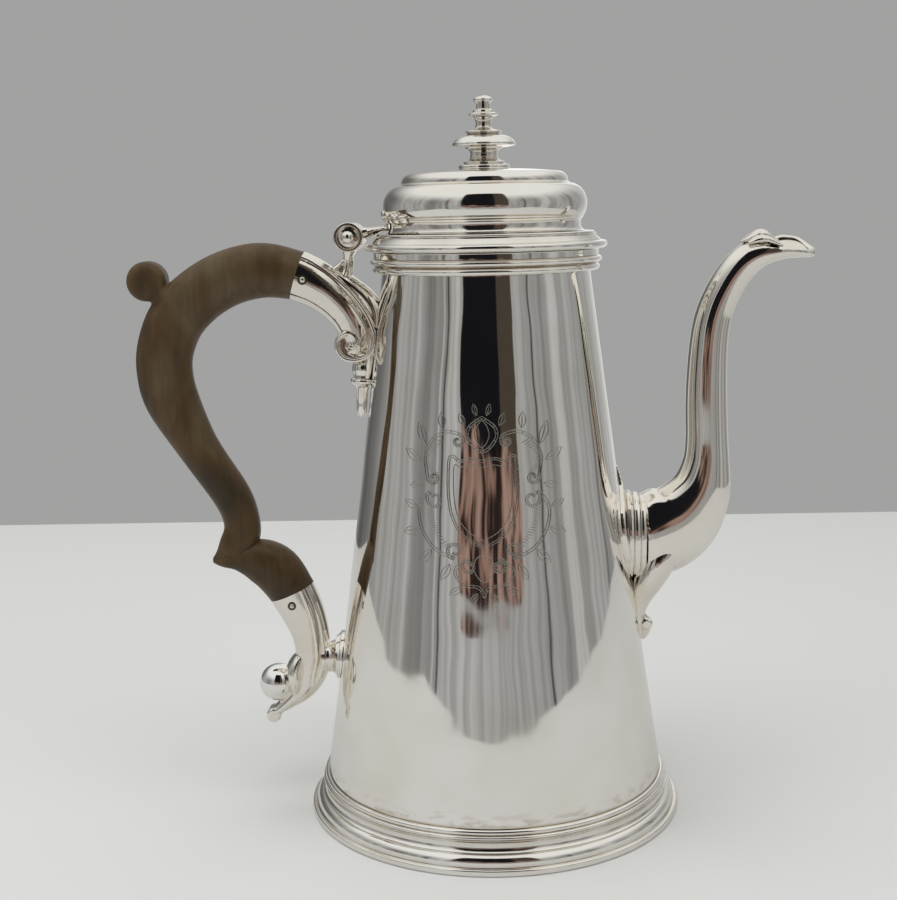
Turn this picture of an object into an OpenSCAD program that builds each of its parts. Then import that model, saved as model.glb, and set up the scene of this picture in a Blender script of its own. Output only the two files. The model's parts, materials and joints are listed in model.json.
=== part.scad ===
// Tapered silver coffee pot with a wooden scroll handle, a swan-neck spout and a hinged domed lid.
// Millimetres, +Z up. The origin is the centre of the foot's underside.
// The spout points along +X, the handle along -X, and both lie in the plane Y = 0.

/* [Body] */
// Outer radius of the body where it enters the foot
body_foot_r = 56.2; // [54:0.1:57]
// Outer radius of the body under the rim mouldings
body_neck_r = 33.6; // [33:0.1:34.5]
// Height of the top of the foot
body_foot_z = 12.8; // [12:0.1:14]
// Height of the lowest rim moulding
body_neck_z = 178.7; // [176:0.1:180]
// Height of the rim
rim_z = 185.5; // [185:0.1:186]
// How far the sides draw in halfway up
body_waist = 0.6; // [0:0.1:1]
// Thickness of the raised sheet
sheet = 1.1; // [0.8:0.1:1.4]

/* [Foot] */
// Outer radius of the foot
foot_r = 62; // [61:0.1:64]
// Thickness of the flat flange that stands on the table
foot_flange_t = 2.2; // [1.6:0.1:3]

/* [Strainer] */
// Radius of the holes pierced behind the spout
strainer_hole_r = 1.4; // [1:0.1:1.8]
// Distance between the hole centres
strainer_pitch = 4.6; // [4:0.1:5.5]
// Rows of holes
strainer_rows = 6; // [4:1:7]

/* [Spout] */
// Wall of the two cast halves
spout_wall = 1.2; // [1:0.1:1.6]
// Height of the middle of the spout's root
spout_root_z = 91.8; // [90:0.1:94]
// Distance from the axis to the joint of spout and collar
spout_root_x = 52; // [51:0.1:54]

/* [Handle] */
// Half the thickness of the wood across the grip
grip_half_y = 7.4; // [6:0.1:9]
// Radius of the thumb scroll
thumb_r = 6.9; // [6:0.1:8]
// Radius of the pins through the sockets
handle_pin_r = 1.2; // [1:0.1:1.6]
// Radius of the wood tenons in the sockets
tenon_r = 4.6; // [4:0.1:5]

/* [Lid and hinge] */
// Outer radius of the lid's lower flange
lid_r = 39; // [38:0.1:40]
// Gap between the rim and the closed lid
lid_gap = 0.3; // [0.3:0.1:0.5]
// Distance from the axis to the hinge pin
hinge_x = 43.5; // [43:0.1:45]
// Height of the hinge pin
hinge_z = 190.5; // [190:0.1:191.5]
// Outer radius of the knuckles
knuckle_r = 4.2; // [4:0.1:4.5]
// Radius of the hinge pin
hinge_pin_r = 1.25; // [1:0.05:1.5]
// Length of the knuckle barrel
barrel_l = 17; // [15:0.1:20]

/* [Hidden] */

$fn = 96;
silver = [0.78, 0.77, 0.74];
bright_silver = [0.86, 0.85, 0.82];
dull_silver = [0.66, 0.64, 0.6];
wood = [0.33, 0.26, 0.2];

body_slope = (body_foot_r - body_neck_r) / (body_neck_z - body_foot_z);
lid_z = rim_z + lid_gap;
lid_flange_top = 191.2;
crown_z = 210.9;
finial_base_r = 8.2;
finial_base_top = 212.6;
stem_r = 1.6;
bezel_r = 30.6;
running_gap = 0.05;
knuckle_gap = 0.3;
knuckle_l = (barrel_l - 4 * knuckle_gap) / 5;
knuckle_step = knuckle_l + knuckle_gap;
sweep_sides = 16;

// ---- curves and sweeps ----

// Points along an elliptical arc about c, from angle a0 to a1
function arc(c, rx, ry, a0, a1, n = 8) =
    [for (i = [0:n]) let (a = a0 + (a1 - a0) * i / n) c + [rx * cos(a), ry * sin(a)]];

// A profile moved along its own normals by t: to the left of its direction when t is positive
function shifted(pts, t) = [for (i = [0:len(pts) - 1])
    let (p = pts[max(i - 1, 0)], q = pts[min(i + 1, len(pts) - 1)], d = (q - p) / norm(q - p))
    pts[i] + t * [-d[1], d[0]]];

function reversed(pts) = [for (i = [len(pts) - 1:-1:0]) pts[i]];

// Smooth interpolation between stations, each a vector of any length
function spline_at(s, i, t) =
    let (n = len(s) - 1, a = s[max(i - 1, 0)], b = s[i], c = s[i + 1], d = s[min(i + 2, n)])
    b + 0.5 * t * ((c - a) + t * ((2 * a - 5 * b + 4 * c - d) + t * (3 * (b - c) + d - a)));
function smooth(s, k) =
    [for (i = [0:len(s) - 2], j = [0:k - 1]) spline_at(s, i, j / k), s[len(s) - 1]];

// Direction of travel, in degrees from +X towards +Z, at each station [x, z, ...]
function heading(s, i) =
    let (p = s[max(i - 1, 0)], q = s[min(i + 1, len(s) - 1)]) atan2(q[1] - p[1], q[0] - p[0]);

// A ring across the path: u lies in the plane Y = 0 at right angles to the path, v is along Y
function placed(s, a, ring) =
    [for (p = ring) [s[0] - sin(a) * p[0], p[1], s[1] + cos(a) * p[0]]];

// Skin over rings of equal length, closed at both ends
module skin(rings) {
    n = len(rings[0]);
    m = len(rings);
    sides = [for (i = [0:m - 2], j = [0:n - 1])
        [i * n + j, i * n + (j + 1) % n, (i + 1) * n + (j + 1) % n, (i + 1) * n + j]];
    first = [[for (j = [n - 1:-1:0]) j]];
    last = [[for (j = [0:n - 1]) (m - 1) * n + j]];
    polyhedron([for (r = rings) each r], concat(sides, first, last), convexity = 6);
}

// Solid bar of oval section along stations [x, z, half width in the plane, half width along Y]
module oval_bar(stations, k) {
    s = smooth(stations, k);
    skin([for (i = [0:len(s) - 1]) placed(s[i], heading(s, i),
        arc([0, 0], s[i][2], s[i][3], 0, 360 - 360 / sweep_sides, sweep_sides - 1))]);
}

// ---- body ----

// Outer radius of the body at height z
function body_r(z) = body_foot_r - body_slope * (z - body_foot_z)
    - (z > body_foot_z && z < body_neck_z
        ? body_waist * sin(180 * (z - body_foot_z) / (body_neck_z - body_foot_z)) : 0);

body_steps = 8;
body_side = [for (i = [0:body_steps])
    let (z = body_foot_z + (body_neck_z - body_foot_z) * i / body_steps) [body_r(z), z]];

// The filled outside of the body, to cut what sits against it
module body_solid() {
    rotate_extrude() polygon(concat([[0, body_foot_z]], body_side, [[body_r(rim_z), rim_z], [0, rim_z]]));
}

module body_wall() {
    seat_z = 11;
    outer = concat([[body_foot_r, seat_z]], body_side, [[body_r(rim_z), rim_z]]);
    color(silver) difference() {
        rotate_extrude() polygon(concat(outer, [for (p = reversed(outer)) p - [sheet, 0]]));
        strainer_drills();
    }
}

module strainer_drills() {
    for (row = [0:strainer_rows - 1], k = [-1:1]) {
        odd = row % 2;
        y = strainer_pitch * (k + (odd ? 0.5 : 0));
        z = spout_root_z + strainer_pitch * (row - (strainer_rows - 1) / 2);
        if (!(odd && k == 1))
            translate([body_r(z) - 5, y, z]) rotate([0, 90, 0]) cylinder(r = strainer_hole_r, h = 10);
    }
}

module bottom_plate() {
    color(dull_silver) translate([0, 0, 11]) cylinder(r = body_foot_r - sheet, h = 1.2);
}

module foot_ring() {
    flange = [[59.8, 0], [foot_r - 0.6, 0], [foot_r, 0.7], [foot_r, foot_flange_t - 0.6],
        [foot_r - 0.8, foot_flange_t]];
    ovolo = arc([57.6, 3], 2.9, 3.4, 0, 90);
    cove = arc([57.7, 7.9], 0.9, 1.1, 270, 90);
    lower_bead = arc([57, 10], 0.9, 0.9, -90, 90);
    upper_bead = arc([56.5, 11.9], 0.8, 0.9, -60, 90);
    inside = [[body_foot_r, body_foot_z], [body_foot_r, 11], [54.4, 11], [54.6, 7], [57, 4]];
    color(silver) rotate_extrude() polygon(concat(flange, ovolo, cove, lower_bead, upper_bead, inside));
}

module rim_ring() {
    lower_bead = arc([35.3, 179.9], 1.3, 1, -90, 80);
    upper_bead = arc([35.9, 182.4], 1.4, 1, -80, 90);
    band_r = 36.2;
    color(bright_silver) rotate_extrude() polygon(concat([[body_neck_r, body_neck_z]], lower_bead,
        upper_bead, [[band_r, 183.6], [band_r, rim_z], [body_r(rim_z), rim_z]]));
}

// ---- spout ----

// Bore and outside of the spout's root, as half heights and half widths
root_half_z = 15.6;
root_half_y = 9.6;

module root_oval(grow) {
    polygon(arc([0, 0], root_half_z + grow, root_half_y + grow, 0, 350, 35));
}

// An oval plug along X, from x0 to x1, around the spout's root
module root_plug(x0, x1, grow) {
    translate([x0, 0, spout_root_z]) rotate([0, 90, 0]) linear_extrude(x1 - x0) root_oval(grow);
}

// Thin shaped plate on the body round the root, pointed at the top and narrow at the bottom
module root_plate() {
    plate_t = 1.4;
    plate_half_y = 14.5;
    top_z = 116.5;
    low_z = 74;
    sides = 10;
    outline = concat([for (i = [0:sides]) let (t = i / sides)
            [low_z + (top_z - low_z) * t, plate_half_y * pow(sin(180 * pow(t, 0.9)), 0.8)]],
        [for (i = [sides - 1:-1:1]) let (t = i / sides)
            [low_z + (top_z - low_z) * t, -plate_half_y * pow(sin(180 * pow(t, 0.9)), 0.8)]]);
    intersection() {
        translate([20, 0, 0]) rotate([0, -90, 0]) mirror([0, 0, 1]) linear_extrude(40) polygon(outline);
        rotate_extrude() polygon([[0, 60], [body_r(60) + plate_t, 60], [body_r(130) + plate_t, 130], [0, 130]]);
    }
}

module spout_collar() {
    color(bright_silver) difference() {
        union() {
            root_plate();
            root_plug(body_r(spout_root_z) - 14, spout_root_x, 0.6);
            root_plug(body_r(spout_root_z) - 14, spout_root_x - 1.8, 1.6);
            root_plug(body_r(spout_root_z) - 14, spout_root_x - 3.8, 2.8);
        }
        body_solid();
        root_plug(20, 60, -spout_wall);
    }
}

// Stations [x, z, half width in the plane, half width along Y, start angle of the wall, lift of its
// edge]. The wall runs from the start angle at the top, round the side, to the underside.
spout_stations = [
    [spout_root_x, spout_root_z, root_half_z, root_half_y, 0, 0],
    [58.4, 93.2, 14.6, 9.2, 0, 0],
    [64.6, 97.5, 12.9, 8.6, 0, 0],
    [69.4, 105.4, 10.2, 7.8, 0, 0],
    [71.2, 113.8, 7.9, 7, 0, 0],
    [71.5, 122, 6.95, 6.4, 0, 0],
    [71.2, 136, 6.7, 6.1, 0, 0],
    [71.6, 151, 6.25, 5.8, 0, 0],
    [73, 162, 5.9, 5.5, 0, 0],
    [76.8, 171, 5.75, 5.4, 0, 0],
    [82.2, 178.2, 5.9, 5.6, 12, 0.6],
    [88, 182.2, 5.6, 6, 48, 3.8],
    [94.5, 184.2, 4.4, 6.2, 80, 1.5],
    [101, 184.9, 2.9, 5, 84, 1.4],
    [105.6, 184.6, 1.3, 1.8, 86, 0.2]];

// Section points lifted towards the edge, where the first point lies
function lifted(pts, lift) = [for (i = [0:len(pts) - 1]) pts[i] + [lift * pow(1 - i / (len(pts) - 1), 3), 0]];

// Wall section of one half, from the top or the rim round to the underside
function half_ring(s) = let (n = 8, start = max(s[4], 0))
    concat(lifted(arc([0, 0], s[2], s[3], start, 180, n), s[5]),
        reversed(lifted(arc([0, 0], max(s[2] - spout_wall, 0.3), max(s[3] - spout_wall, 0.3), start, 180, n),
            s[5])));

module spout_half() {
    s = smooth(spout_stations, 2);
    skin([for (i = [0:len(s) - 1])
        placed(s[i], i == 0 ? 0 : heading(s, i), half_ring(s[i]))]);
}

module spout_left_half() {
    color(bright_silver) spout_half();
}

module spout_right_half() {
    color(silver) mirror([0, 1, 0]) spout_half();
}

// Pendant below the spout's root, ending in a small outward curl
module spout_drop() {
    stations = [[54.5, 77.5, 4.6, 6.5], [51.8, 70.5, 4.4, 5.6], [50.3, 64.5, 3.2, 4.2],
        [50.6, 59.5, 2, 3], [51.3, 54.5, 1.5, 2.2]];
    color(silver) difference() {
        union() {
            oval_bar(stations, 3);
            translate([53.2, 0, 58]) rotate([90, 0, 0]) cylinder(r = 2.2, h = 5, center = true);
        }
        body_solid();
    }
}

// ---- handle ----

grip_stations = [
    [-61, 178.5, 8, grip_half_y - 0.4],
    [-72.3, 180.4, 8.9, grip_half_y],
    [-83.4, 178.2, 9.1, grip_half_y + 0.2],
    [-93, 173, 9.2, grip_half_y + 0.3],
    [-101, 165.3, 9.4, grip_half_y + 0.3],
    [-105.2, 155.8, 9.3, grip_half_y + 0.2],
    [-105.9, 147.5, 9.2, grip_half_y],
    [-103.8, 138, 8.9, grip_half_y - 0.2],
    [-96, 122.5, 6.9, grip_half_y - 0.7],
    [-86.2, 107, 6.4, grip_half_y - 1.1],
    [-83.1, 99, 6.1, grip_half_y - 1.4],
    [-83, 92.4, 6.1, grip_half_y - 1.5],
    [-86, 86.5, 5.6, grip_half_y - 1.8]];

scroll_stations = [
    [-88.6, 84.2, 2.4, grip_half_y - 2.6],
    [-84, 85.4, 4.9, grip_half_y - 1.8],
    [-78.2, 84.4, 7.2, grip_half_y - 1],
    [-72, 80.6, 8.4, grip_half_y - 0.4],
    [-66.9, 73.2, 7.8, grip_half_y - 0.4]];

upper_joint = grip_stations[0];
upper_joint_tilt = -19;
lower_joint = scroll_stations[4];
lower_joint_tilt = 23;

// Where the joint planes lie: everything on the socket's side of each plane
module upper_side() {
    translate([upper_joint[0], 0, upper_joint[1]]) rotate([0, -upper_joint_tilt, 0])
        translate([0, -20, -30]) cube([60, 40, 60]);
}

module lower_side() {
    translate([lower_joint[0], 0, lower_joint[1]]) rotate([0, -lower_joint_tilt, 0])
        translate([-30, -20, -60]) cube([60, 40, 60]);
}

module upper_tenon(r, l) {
    translate([upper_joint[0], 0, upper_joint[1]]) rotate([0, 90 - upper_joint_tilt, 0])
        translate([0, 0, -3]) cylinder(r = r, h = l + 3);
}

module lower_tenon(r, l) {
    translate([lower_joint[0], 0, lower_joint[1]]) rotate([0, 180 - lower_joint_tilt, 0])
        translate([0, 0, -3]) cylinder(r = r, h = l + 3);
}

pin_up_x = -58.6;
pin_up_z = 177.4;
pin_low_x = -66.2;
pin_low_z = 69.8;

module cross_pin(x, z, half_l) {
    translate([x, 0, z]) rotate([90, 0, 0]) cylinder(r = handle_pin_r, h = 2 * half_l, center = true);
}

module handle_grip() {
    color(wood) difference() {
        union() {
            difference() {
                oval_bar(grip_stations, 2);
                upper_side();
            }
            upper_tenon(tenon_r, 6);
            translate([-110.2, 0, 178.2]) rotate([90, 0, 0]) cylinder(r = thumb_r, h = 11, center = true);
        }
        cross_pin(pin_up_x, pin_up_z, 12);
    }
}

module handle_lower_scroll() {
    color(wood) difference() {
        union() {
            difference() {
                oval_bar(scroll_stations, 3);
                lower_side();
            }
            lower_tenon(tenon_r, 6);
        }
        cross_pin(pin_low_x, pin_low_z, 12);
    }
}

module upper_socket() {
    stations = [[-64, 179.6, 8, grip_half_y], [-61, 178.5, 8.1, grip_half_y],
        [-54.4, 175.3, 7.6, 7.2], [-48.8, 170.9, 7, 6.6], [-44.6, 165.2, 6.2, 6],
        [-42.7, 158.6, 5, 5.4], [-43.6, 153.2, 2.9, 4.8]];
    color(silver) difference() {
        union() {
            intersection() {
                oval_bar(stations, 2);
                upper_side();
            }
            translate([-45.4, 0, 156.2]) rotate([90, 0, 0]) cylinder(r = 4.3, h = 9.4, center = true);
        }
        upper_tenon(tenon_r, 6);
        cross_pin(pin_up_x, pin_up_z, 12);
        body_solid();
    }
}

// Strap soldered to the body, which carries the scroll and the drop
module upper_backing() {
    color(dull_silver) difference() {
        hull() {
            translate([-39.4, 0, 170]) rotate([0, 90, 0]) cylinder(r = 4.6, h = 6);
            translate([-41.2, 0, 150]) rotate([0, 90, 0]) cylinder(r = 4.2, h = 6);
            translate([-41, 0, 138]) rotate([0, 90, 0]) cylinder(r = 1.6, h = 3);
        }
        body_solid();
    }
}

// Small turned pendant under the upper scroll, hung along the slope of the body
module upper_drop() {
    profile = concat([[0, 0], [1.2, 0.2], [2, 1.6]], arc([1.4, 9.9], 1.4, 1.4, -60, 90),
        [[2.2, 11.8], [2.4, 13.2], [1.9, 16.5], [2.3, 19.2], [0, 19.2]]);
    color(silver) translate([-41.8, 0, 132]) rotate([0, 3.5, 0]) rotate_extrude() polygon(profile);
}

module upper_pin() {
    color(dull_silver) cross_pin(pin_up_x, pin_up_z, 7.9);
}

module lower_socket() {
    stations = [[-68.2, 76.2, 7.8, grip_half_y], [-66.9, 73.2, 7.9, grip_half_y],
        [-63.6, 66, 7.2, 7], [-61.3, 58.5, 6.3, 6.4], [-60.6, 51.5, 5.9, 6], [-61.6, 45, 5.6, 5.6],
        [-64.6, 39.2, 4.6, 5], [-69.4, 34.6, 3, 4.2], [-73.8, 31, 2.6, 3.4], [-76.4, 29.2, 1.9, 2.8]];
    color(silver) difference() {
        intersection() {
            oval_bar(stations, 2);
            lower_side();
        }
        lower_tenon(tenon_r, 6);
        cross_pin(pin_low_x, pin_low_z, 12);
    }
}

module lower_ball() {
    color(bright_silver) translate([-72.8, 0, 41.3]) sphere(r = 6.3);
}

// Turned spool that stands the lower socket off the body
module lower_boss() {
    boss_z = 50;
    profile = [[0, 0], [6.6, 0], [6.3, 2], [7, 3.6], [8.2, 4.4], [8.2, 5.2], [8.9, 5.6], [8.9, 9], [0, 9]];
    color(silver) difference() {
        translate([-57.6, 0, boss_z]) rotate([0, 90, 0]) rotate_extrude() polygon(profile);
        body_solid();
    }
}

module lower_pin() {
    color(dull_silver) cross_pin(pin_low_x, pin_low_z, 7.9);
}

// ---- hinge ----

// A cylinder on the hinge's axis, centred at y
module on_hinge(r, l, y = 0) {
    translate([-hinge_x, y, hinge_z]) rotate([90, 0, 0]) cylinder(r = r, h = l, center = true);
}

// Post on the handle socket: a saddle that carries the first, middle and last knuckles
module hinge_post() {
    saddle = [[-hinge_x - 3.4, 184.4], [-hinge_x - 4, 186.6], [-hinge_x, 187.5],
        [-hinge_x + 3.4, 187], [-hinge_x + 1.2, 184.6]];
    column = [[-50, 178.6], [-44.4, 176.6], [-43.4, 180], [-hinge_x + 1, 185.4], [-hinge_x - 3.3, 185.4],
        [-47.2, 182]];
    color(silver) difference() {
        union() {
            rotate([90, 0, 0]) linear_extrude(barrel_l, center = true) polygon(saddle);
            rotate([90, 0, 0]) linear_extrude(6, center = true) polygon(column);
            for (k = [-1:1]) on_hinge(knuckle_r, knuckle_l, 2 * k * knuckle_step);
        }
        for (k = [-1, 1]) on_hinge(knuckle_r + knuckle_gap, knuckle_l + 2 * knuckle_gap, k * knuckle_step);
        on_hinge(hinge_pin_r, 2 * barrel_l);
    }
}

// Round head against the end of the barrel: side is -1 at the front and 1 at the back
module pin_head(side) {
    head_r = 2.15;
    translate([-hinge_x, side * barrel_l / 2, hinge_z]) rotate([-90 * side, 0, 0]) rotate_extrude()
        polygon(concat([[0, 0]], arc([0, 1.2], head_r, head_r, -34, 90, 10)));
}

module hinge_pin() {
    color(bright_silver) union() {
        on_hinge(hinge_pin_r, barrel_l);
        pin_head(-1);
    }
}

module hinge_pin_cap() {
    color(bright_silver) pin_head(1);
}

// ---- lid ----

// Outside of the raised lid from the flange up: hollow neck, cushion, step and low crown
neck_c = [32.2, 193.6];
cushion_c = [26.8, 199.8];
neck_curve = arc(neck_c, 1.6, 2.3, 270, 115);
cushion_curve = arc(cushion_c, 5.9, 6.5, -38, 84, 14);
step_curve = arc([24.8, 206.5], 2.3, 2.1, 0, 80, 5);
crown_curve = [for (i = [0:5]) let (r = 23.6 - 3 * i) [r, 208.7 + 2.2 * (1 - pow((r - 8.6) / 15, 2))]];
dome_curve = concat(neck_curve, cushion_curve, step_curve, crown_curve);

module dome_solid() {
    rotate_extrude() polygon(concat([[0, lid_flange_top]], dome_curve, [[0, crown_z]]));
}

module lid_flange() {
    outer = concat([[bezel_r, lid_z], [lid_r - 0.8, lid_z]], arc([lid_r - 1, lid_z + 1.2], 1, 1.1, -70, 80),
        [[36.9, lid_z + 2.5], [36.7, lid_z + 3.2]], arc([36.9, 190.2], 1.5, 1.2, 180, 150, 2),
        arc([34.2, 190.2], 1, 1, -10, 90));
    color(bright_silver) rotate_extrude() polygon(concat(outer,
        [[bezel_r - 1, lid_flange_top], [bezel_r - 1, 188.6], [bezel_r, 188.6]]));
}

module lid_bezel() {
    color(dull_silver) translate([0, 0, 181.2]) difference() {
        cylinder(r = bezel_r, h = 188.6 - 181.2);
        translate([0, 0, -1]) cylinder(r = bezel_r - 1, h = 20);
    }
}

module lid_dome() {
    inside = concat(arc(neck_c, 2.6, 3.3, 226, 128), arc(cushion_c, 4.9, 5.5, -38, 78, 14),
        [for (p = crown_curve) p - [0, 1]], [[stem_r, crown_z - 1]]);
    color(bright_silver) rotate_extrude()
        polygon(concat(dome_curve, [[stem_r, crown_z]], reversed(inside)));
}

// Shaped plate on the lid with its arm and the two moving knuckles
module lid_leaf() {
    leaf_t = 0.9;
    leaf_half_angle = 40;
    seat = [for (p = concat(neck_curve, cushion_curve)) if (p[1] > 192.4 && p[1] < 198.8) p];
    arm_half_y = barrel_l / 2 - knuckle_step + knuckle_gap;
    color(silver) difference() {
        union() {
            rotate([0, 0, 180 - leaf_half_angle]) rotate_extrude(angle = 2 * leaf_half_angle)
                polygon(concat(seat, reversed(shifted(seat, -leaf_t))));
            difference() {
                translate([-hinge_x, -arm_half_y, 191.4]) cube([12.2, 2 * arm_half_y, 2.8]);
                dome_solid();
                on_hinge(knuckle_r + knuckle_gap, knuckle_l + 2 * knuckle_gap);
                for (k = [-1, 1])
                    on_hinge(knuckle_r + knuckle_gap, knuckle_l + 2 * knuckle_gap, 2 * k * knuckle_step);
            }
            for (k = [-1, 1]) on_hinge(knuckle_r, knuckle_l, k * knuckle_step);
        }
        on_hinge(hinge_pin_r + running_gap, 2 * barrel_l);
    }
}

// ---- finial ----

module finial_base() {
    profile = concat([[stem_r, crown_z], [finial_base_r - 0.5, crown_z]],
        arc([finial_base_r - 0.8, 211.7], 0.8, 0.8, -60, 80), [[6.9, finial_base_top], [stem_r, finial_base_top]]);
    color(bright_silver) rotate_extrude() polygon(profile);
}

module finial() {
    stem = [[0, 206.6], [stem_r, 206.6], [stem_r, finial_base_top]];
    foot = [[6.8, finial_base_top], [6.6, 213.1], [5.2, 213.9], [4.4, 214.9], [4.3, 215.7], [5, 216.7]];
    bun = arc([7, 219.7], 3.1, 2.1, -80, 90);
    disc = arc([5.1, 222.7], 0.7, 0.6, -60, 90, 5);
    neck = [[3.2, 223.5], [2.6, 224.3], [2.5, 225.3], [3, 226.6]];
    collar = arc([4, 228], 0.8, 0.8, -80, 80, 6);
    tip = concat([[3.5, 229.1], [3.4, 229.5], [2.2, 230.1], [2.05, 231]], arc([0, 232.6], 3.1, 1.3, -45, 90));
    color(bright_silver) rotate_extrude() polygon(concat(stem, foot, bun, disc, neck, collar, tip));
}

// Nut that draws the finial down on the lid
module finial_nut() {
    nut_h = 2.2;
    color(dull_silver) translate([0, 0, crown_z - 1 - nut_h]) difference() {
        cylinder(r = 4, h = nut_h, $fn = 6);
        translate([0, 0, -1]) cylinder(r = stem_r, h = 5);
    }
}

body_wall();
bottom_plate();
foot_ring();
rim_ring();
spout_collar();
spout_left_half();
spout_right_half();
spout_drop();
handle_grip();
handle_lower_scroll();
upper_socket();
upper_backing();
upper_drop();
upper_pin();
lower_socket();
lower_boss();
lower_ball();
lower_pin();
hinge_post();
hinge_pin();
hinge_pin_cap();
lid_flange();
lid_bezel();
lid_dome();
lid_leaf();
finial_base();
finial();
finial_nut();
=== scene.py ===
import json
import math

import bpy
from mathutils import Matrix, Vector


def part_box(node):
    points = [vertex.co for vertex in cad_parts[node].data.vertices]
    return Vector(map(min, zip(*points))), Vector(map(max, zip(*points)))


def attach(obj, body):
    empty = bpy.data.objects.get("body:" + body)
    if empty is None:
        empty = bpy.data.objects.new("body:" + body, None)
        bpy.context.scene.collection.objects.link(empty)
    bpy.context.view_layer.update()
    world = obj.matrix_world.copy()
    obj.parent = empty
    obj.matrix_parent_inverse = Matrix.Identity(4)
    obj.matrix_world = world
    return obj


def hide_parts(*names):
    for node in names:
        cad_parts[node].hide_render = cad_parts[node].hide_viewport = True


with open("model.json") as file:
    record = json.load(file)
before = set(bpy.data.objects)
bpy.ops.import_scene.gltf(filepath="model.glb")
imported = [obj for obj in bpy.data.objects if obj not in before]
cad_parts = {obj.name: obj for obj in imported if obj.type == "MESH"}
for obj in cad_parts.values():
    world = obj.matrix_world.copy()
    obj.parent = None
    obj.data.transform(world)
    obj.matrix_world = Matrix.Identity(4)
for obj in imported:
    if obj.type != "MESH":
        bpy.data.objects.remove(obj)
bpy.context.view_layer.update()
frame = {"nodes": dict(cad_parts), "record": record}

MM = 0.001


# ---- Camera ----
# It stands in front of the pot, a little above the rim, and looks down at the body.
# It is turned a hair to the left and leans slightly, as a camera held in the hand does.
camera_data = bpy.data.cameras.new("camera")
camera_data.lens = 56.45
camera_data.clip_start = 0.01
camera = bpy.data.objects.new("camera", camera_data)
camera.location = (0.0, -0.45904, 0.19861)
camera.rotation_euler = [math.radians(angle) for angle in (80.3223, 1.2110, 1.4517)]
bpy.context.scene.collection.objects.link(camera)
bpy.context.scene.camera = camera


# ---- Table and light ----
# A white table, a pale grey room, one large soft light overhead and a dark screen behind the camera,
# which a polished pot needs in front of it to show its shape.
def deselect():
    if bpy.context.object and bpy.context.object.mode != "OBJECT":
        bpy.ops.object.mode_set(mode="OBJECT")
    bpy.ops.object.select_all(action="DESELECT")


def only(piece):
    """Selects one piece and makes it the active one."""
    deselect()
    piece.select_set(True)
    bpy.context.view_layer.objects.active = piece


def node(tree, kind, **settings):
    """A new node with its named settings; a setting that is an input's name sets that input."""
    made = tree.nodes.new(kind)
    for name, value in settings.items():
        if hasattr(made, name):
            setattr(made, name, value)
        else:
            made.inputs[name.replace("_", " ")].default_value = value
    return made


def ramp(tree, factor, stops, interpolation="LINEAR"):
    """A colour ramp with (position, grey or colour) stops, fed by factor."""
    made = tree.nodes.new("ShaderNodeValToRGB")
    made.color_ramp.interpolation = interpolation
    for place, value in stops:
        colour = value if isinstance(value, tuple) else (value, value, value)
        element = made.color_ramp.elements.new(place)
        element.color = (*colour, 1.0)
    made.color_ramp.elements.remove(made.color_ramp.elements[0])
    made.color_ramp.elements.remove(made.color_ramp.elements[-1])
    if factor is not None:
        tree.links.new(factor, made.inputs["Fac"])
    return made.outputs["Color"]


def mixed(tree, kind, factor, first, second):
    """Mixes two colours; the factor and the colours are values or the outputs of other nodes."""
    made = node(tree, "ShaderNodeMix", data_type="RGBA", blend_type=kind)
    for name, value in (("Factor", factor), ("A", first), ("B", second)):
        socket = [s for s in made.inputs if s.name == name and s.enabled][0]
        if isinstance(value, (tuple, float)):
            socket.default_value = value
        else:
            tree.links.new(value, socket)
    return [s for s in made.outputs if s.enabled][0]


def mottle(tree, place, scale, detail, stretch=(1.0, 1.0, 1.0), lean=0.0, distortion=0.0):
    """A mottled grey over a piece, stretched along an axis, leaning in degrees about the Y axis."""
    lie = node(tree, "ShaderNodeMapping")
    lie.inputs["Rotation"].default_value = (0.0, math.radians(lean), 0.0)
    lie.inputs["Scale"].default_value = stretch
    tree.links.new(place, lie.inputs["Vector"])
    made = node(tree, "ShaderNodeTexNoise", Scale=scale, Detail=detail, Distortion=distortion)
    tree.links.new(lie.outputs[0], made.inputs["Vector"])
    return made.outputs["Fac"]


def paper_white(name, grey):
    """The dull white of a paper table top."""
    material = bpy.data.materials.new(name)
    material.use_nodes = True
    shader = material.node_tree.nodes["Principled BSDF"]
    shader.inputs["Base Color"].default_value = (grey, grey, grey * 0.985, 1.0)
    shader.inputs["Roughness"].default_value = 0.9
    shader.inputs["Specular IOR Level"].default_value = 0.1
    return material


table_half = 0.44
table_grey = 0.86
mirror_table_half_x = 0.62
mirror_table_near = -0.50
for name, near_edge, lift, seen_by_mirror in (("table", -table_half, 0.0, False),
                                              ("shaded_table_in_mirror", mirror_table_near, 0.00005, True)):
    deselect()
    bpy.ops.mesh.primitive_plane_add(size=1.0)
    table = bpy.context.object
    table.name = name
    half_x = mirror_table_half_x if seen_by_mirror else table_half
    table.scale = (2 * half_x, table_half - near_edge, 1.0)
    table.location = (0.0, (table_half + near_edge) / 2, lift)
    bpy.ops.object.transform_apply(location=True, rotation=True, scale=True)
    # The copy seen only in the silver is painted darker (0.84) than the table itself: painted shade on the
    # table as it shows in the reflection.
    table.data.materials.append(paper_white(name, table_grey * (0.84 if seen_by_mirror else 1.0)))
    table.visible_glossy = seen_by_mirror
    if seen_by_mirror:
        table.visible_camera = False
        table.visible_diffuse = False
        table.visible_shadow = False


def soft_light(name, place, aim, size, power):
    """A broad light that falls on the pot and does not show in the silver."""
    light = bpy.data.lights.new(name, "AREA")
    light.shape = "RECTANGLE"
    light.size, light.size_y = size
    light.energy = power
    lamp = bpy.data.objects.new(name, light)
    lamp.location = place
    lamp.rotation_euler = (Vector(aim) - Vector(place)).to_track_quat("-Z", "Y").to_euler()
    lamp.visible_glossy = False
    bpy.context.scene.collection.objects.link(lamp)


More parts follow.
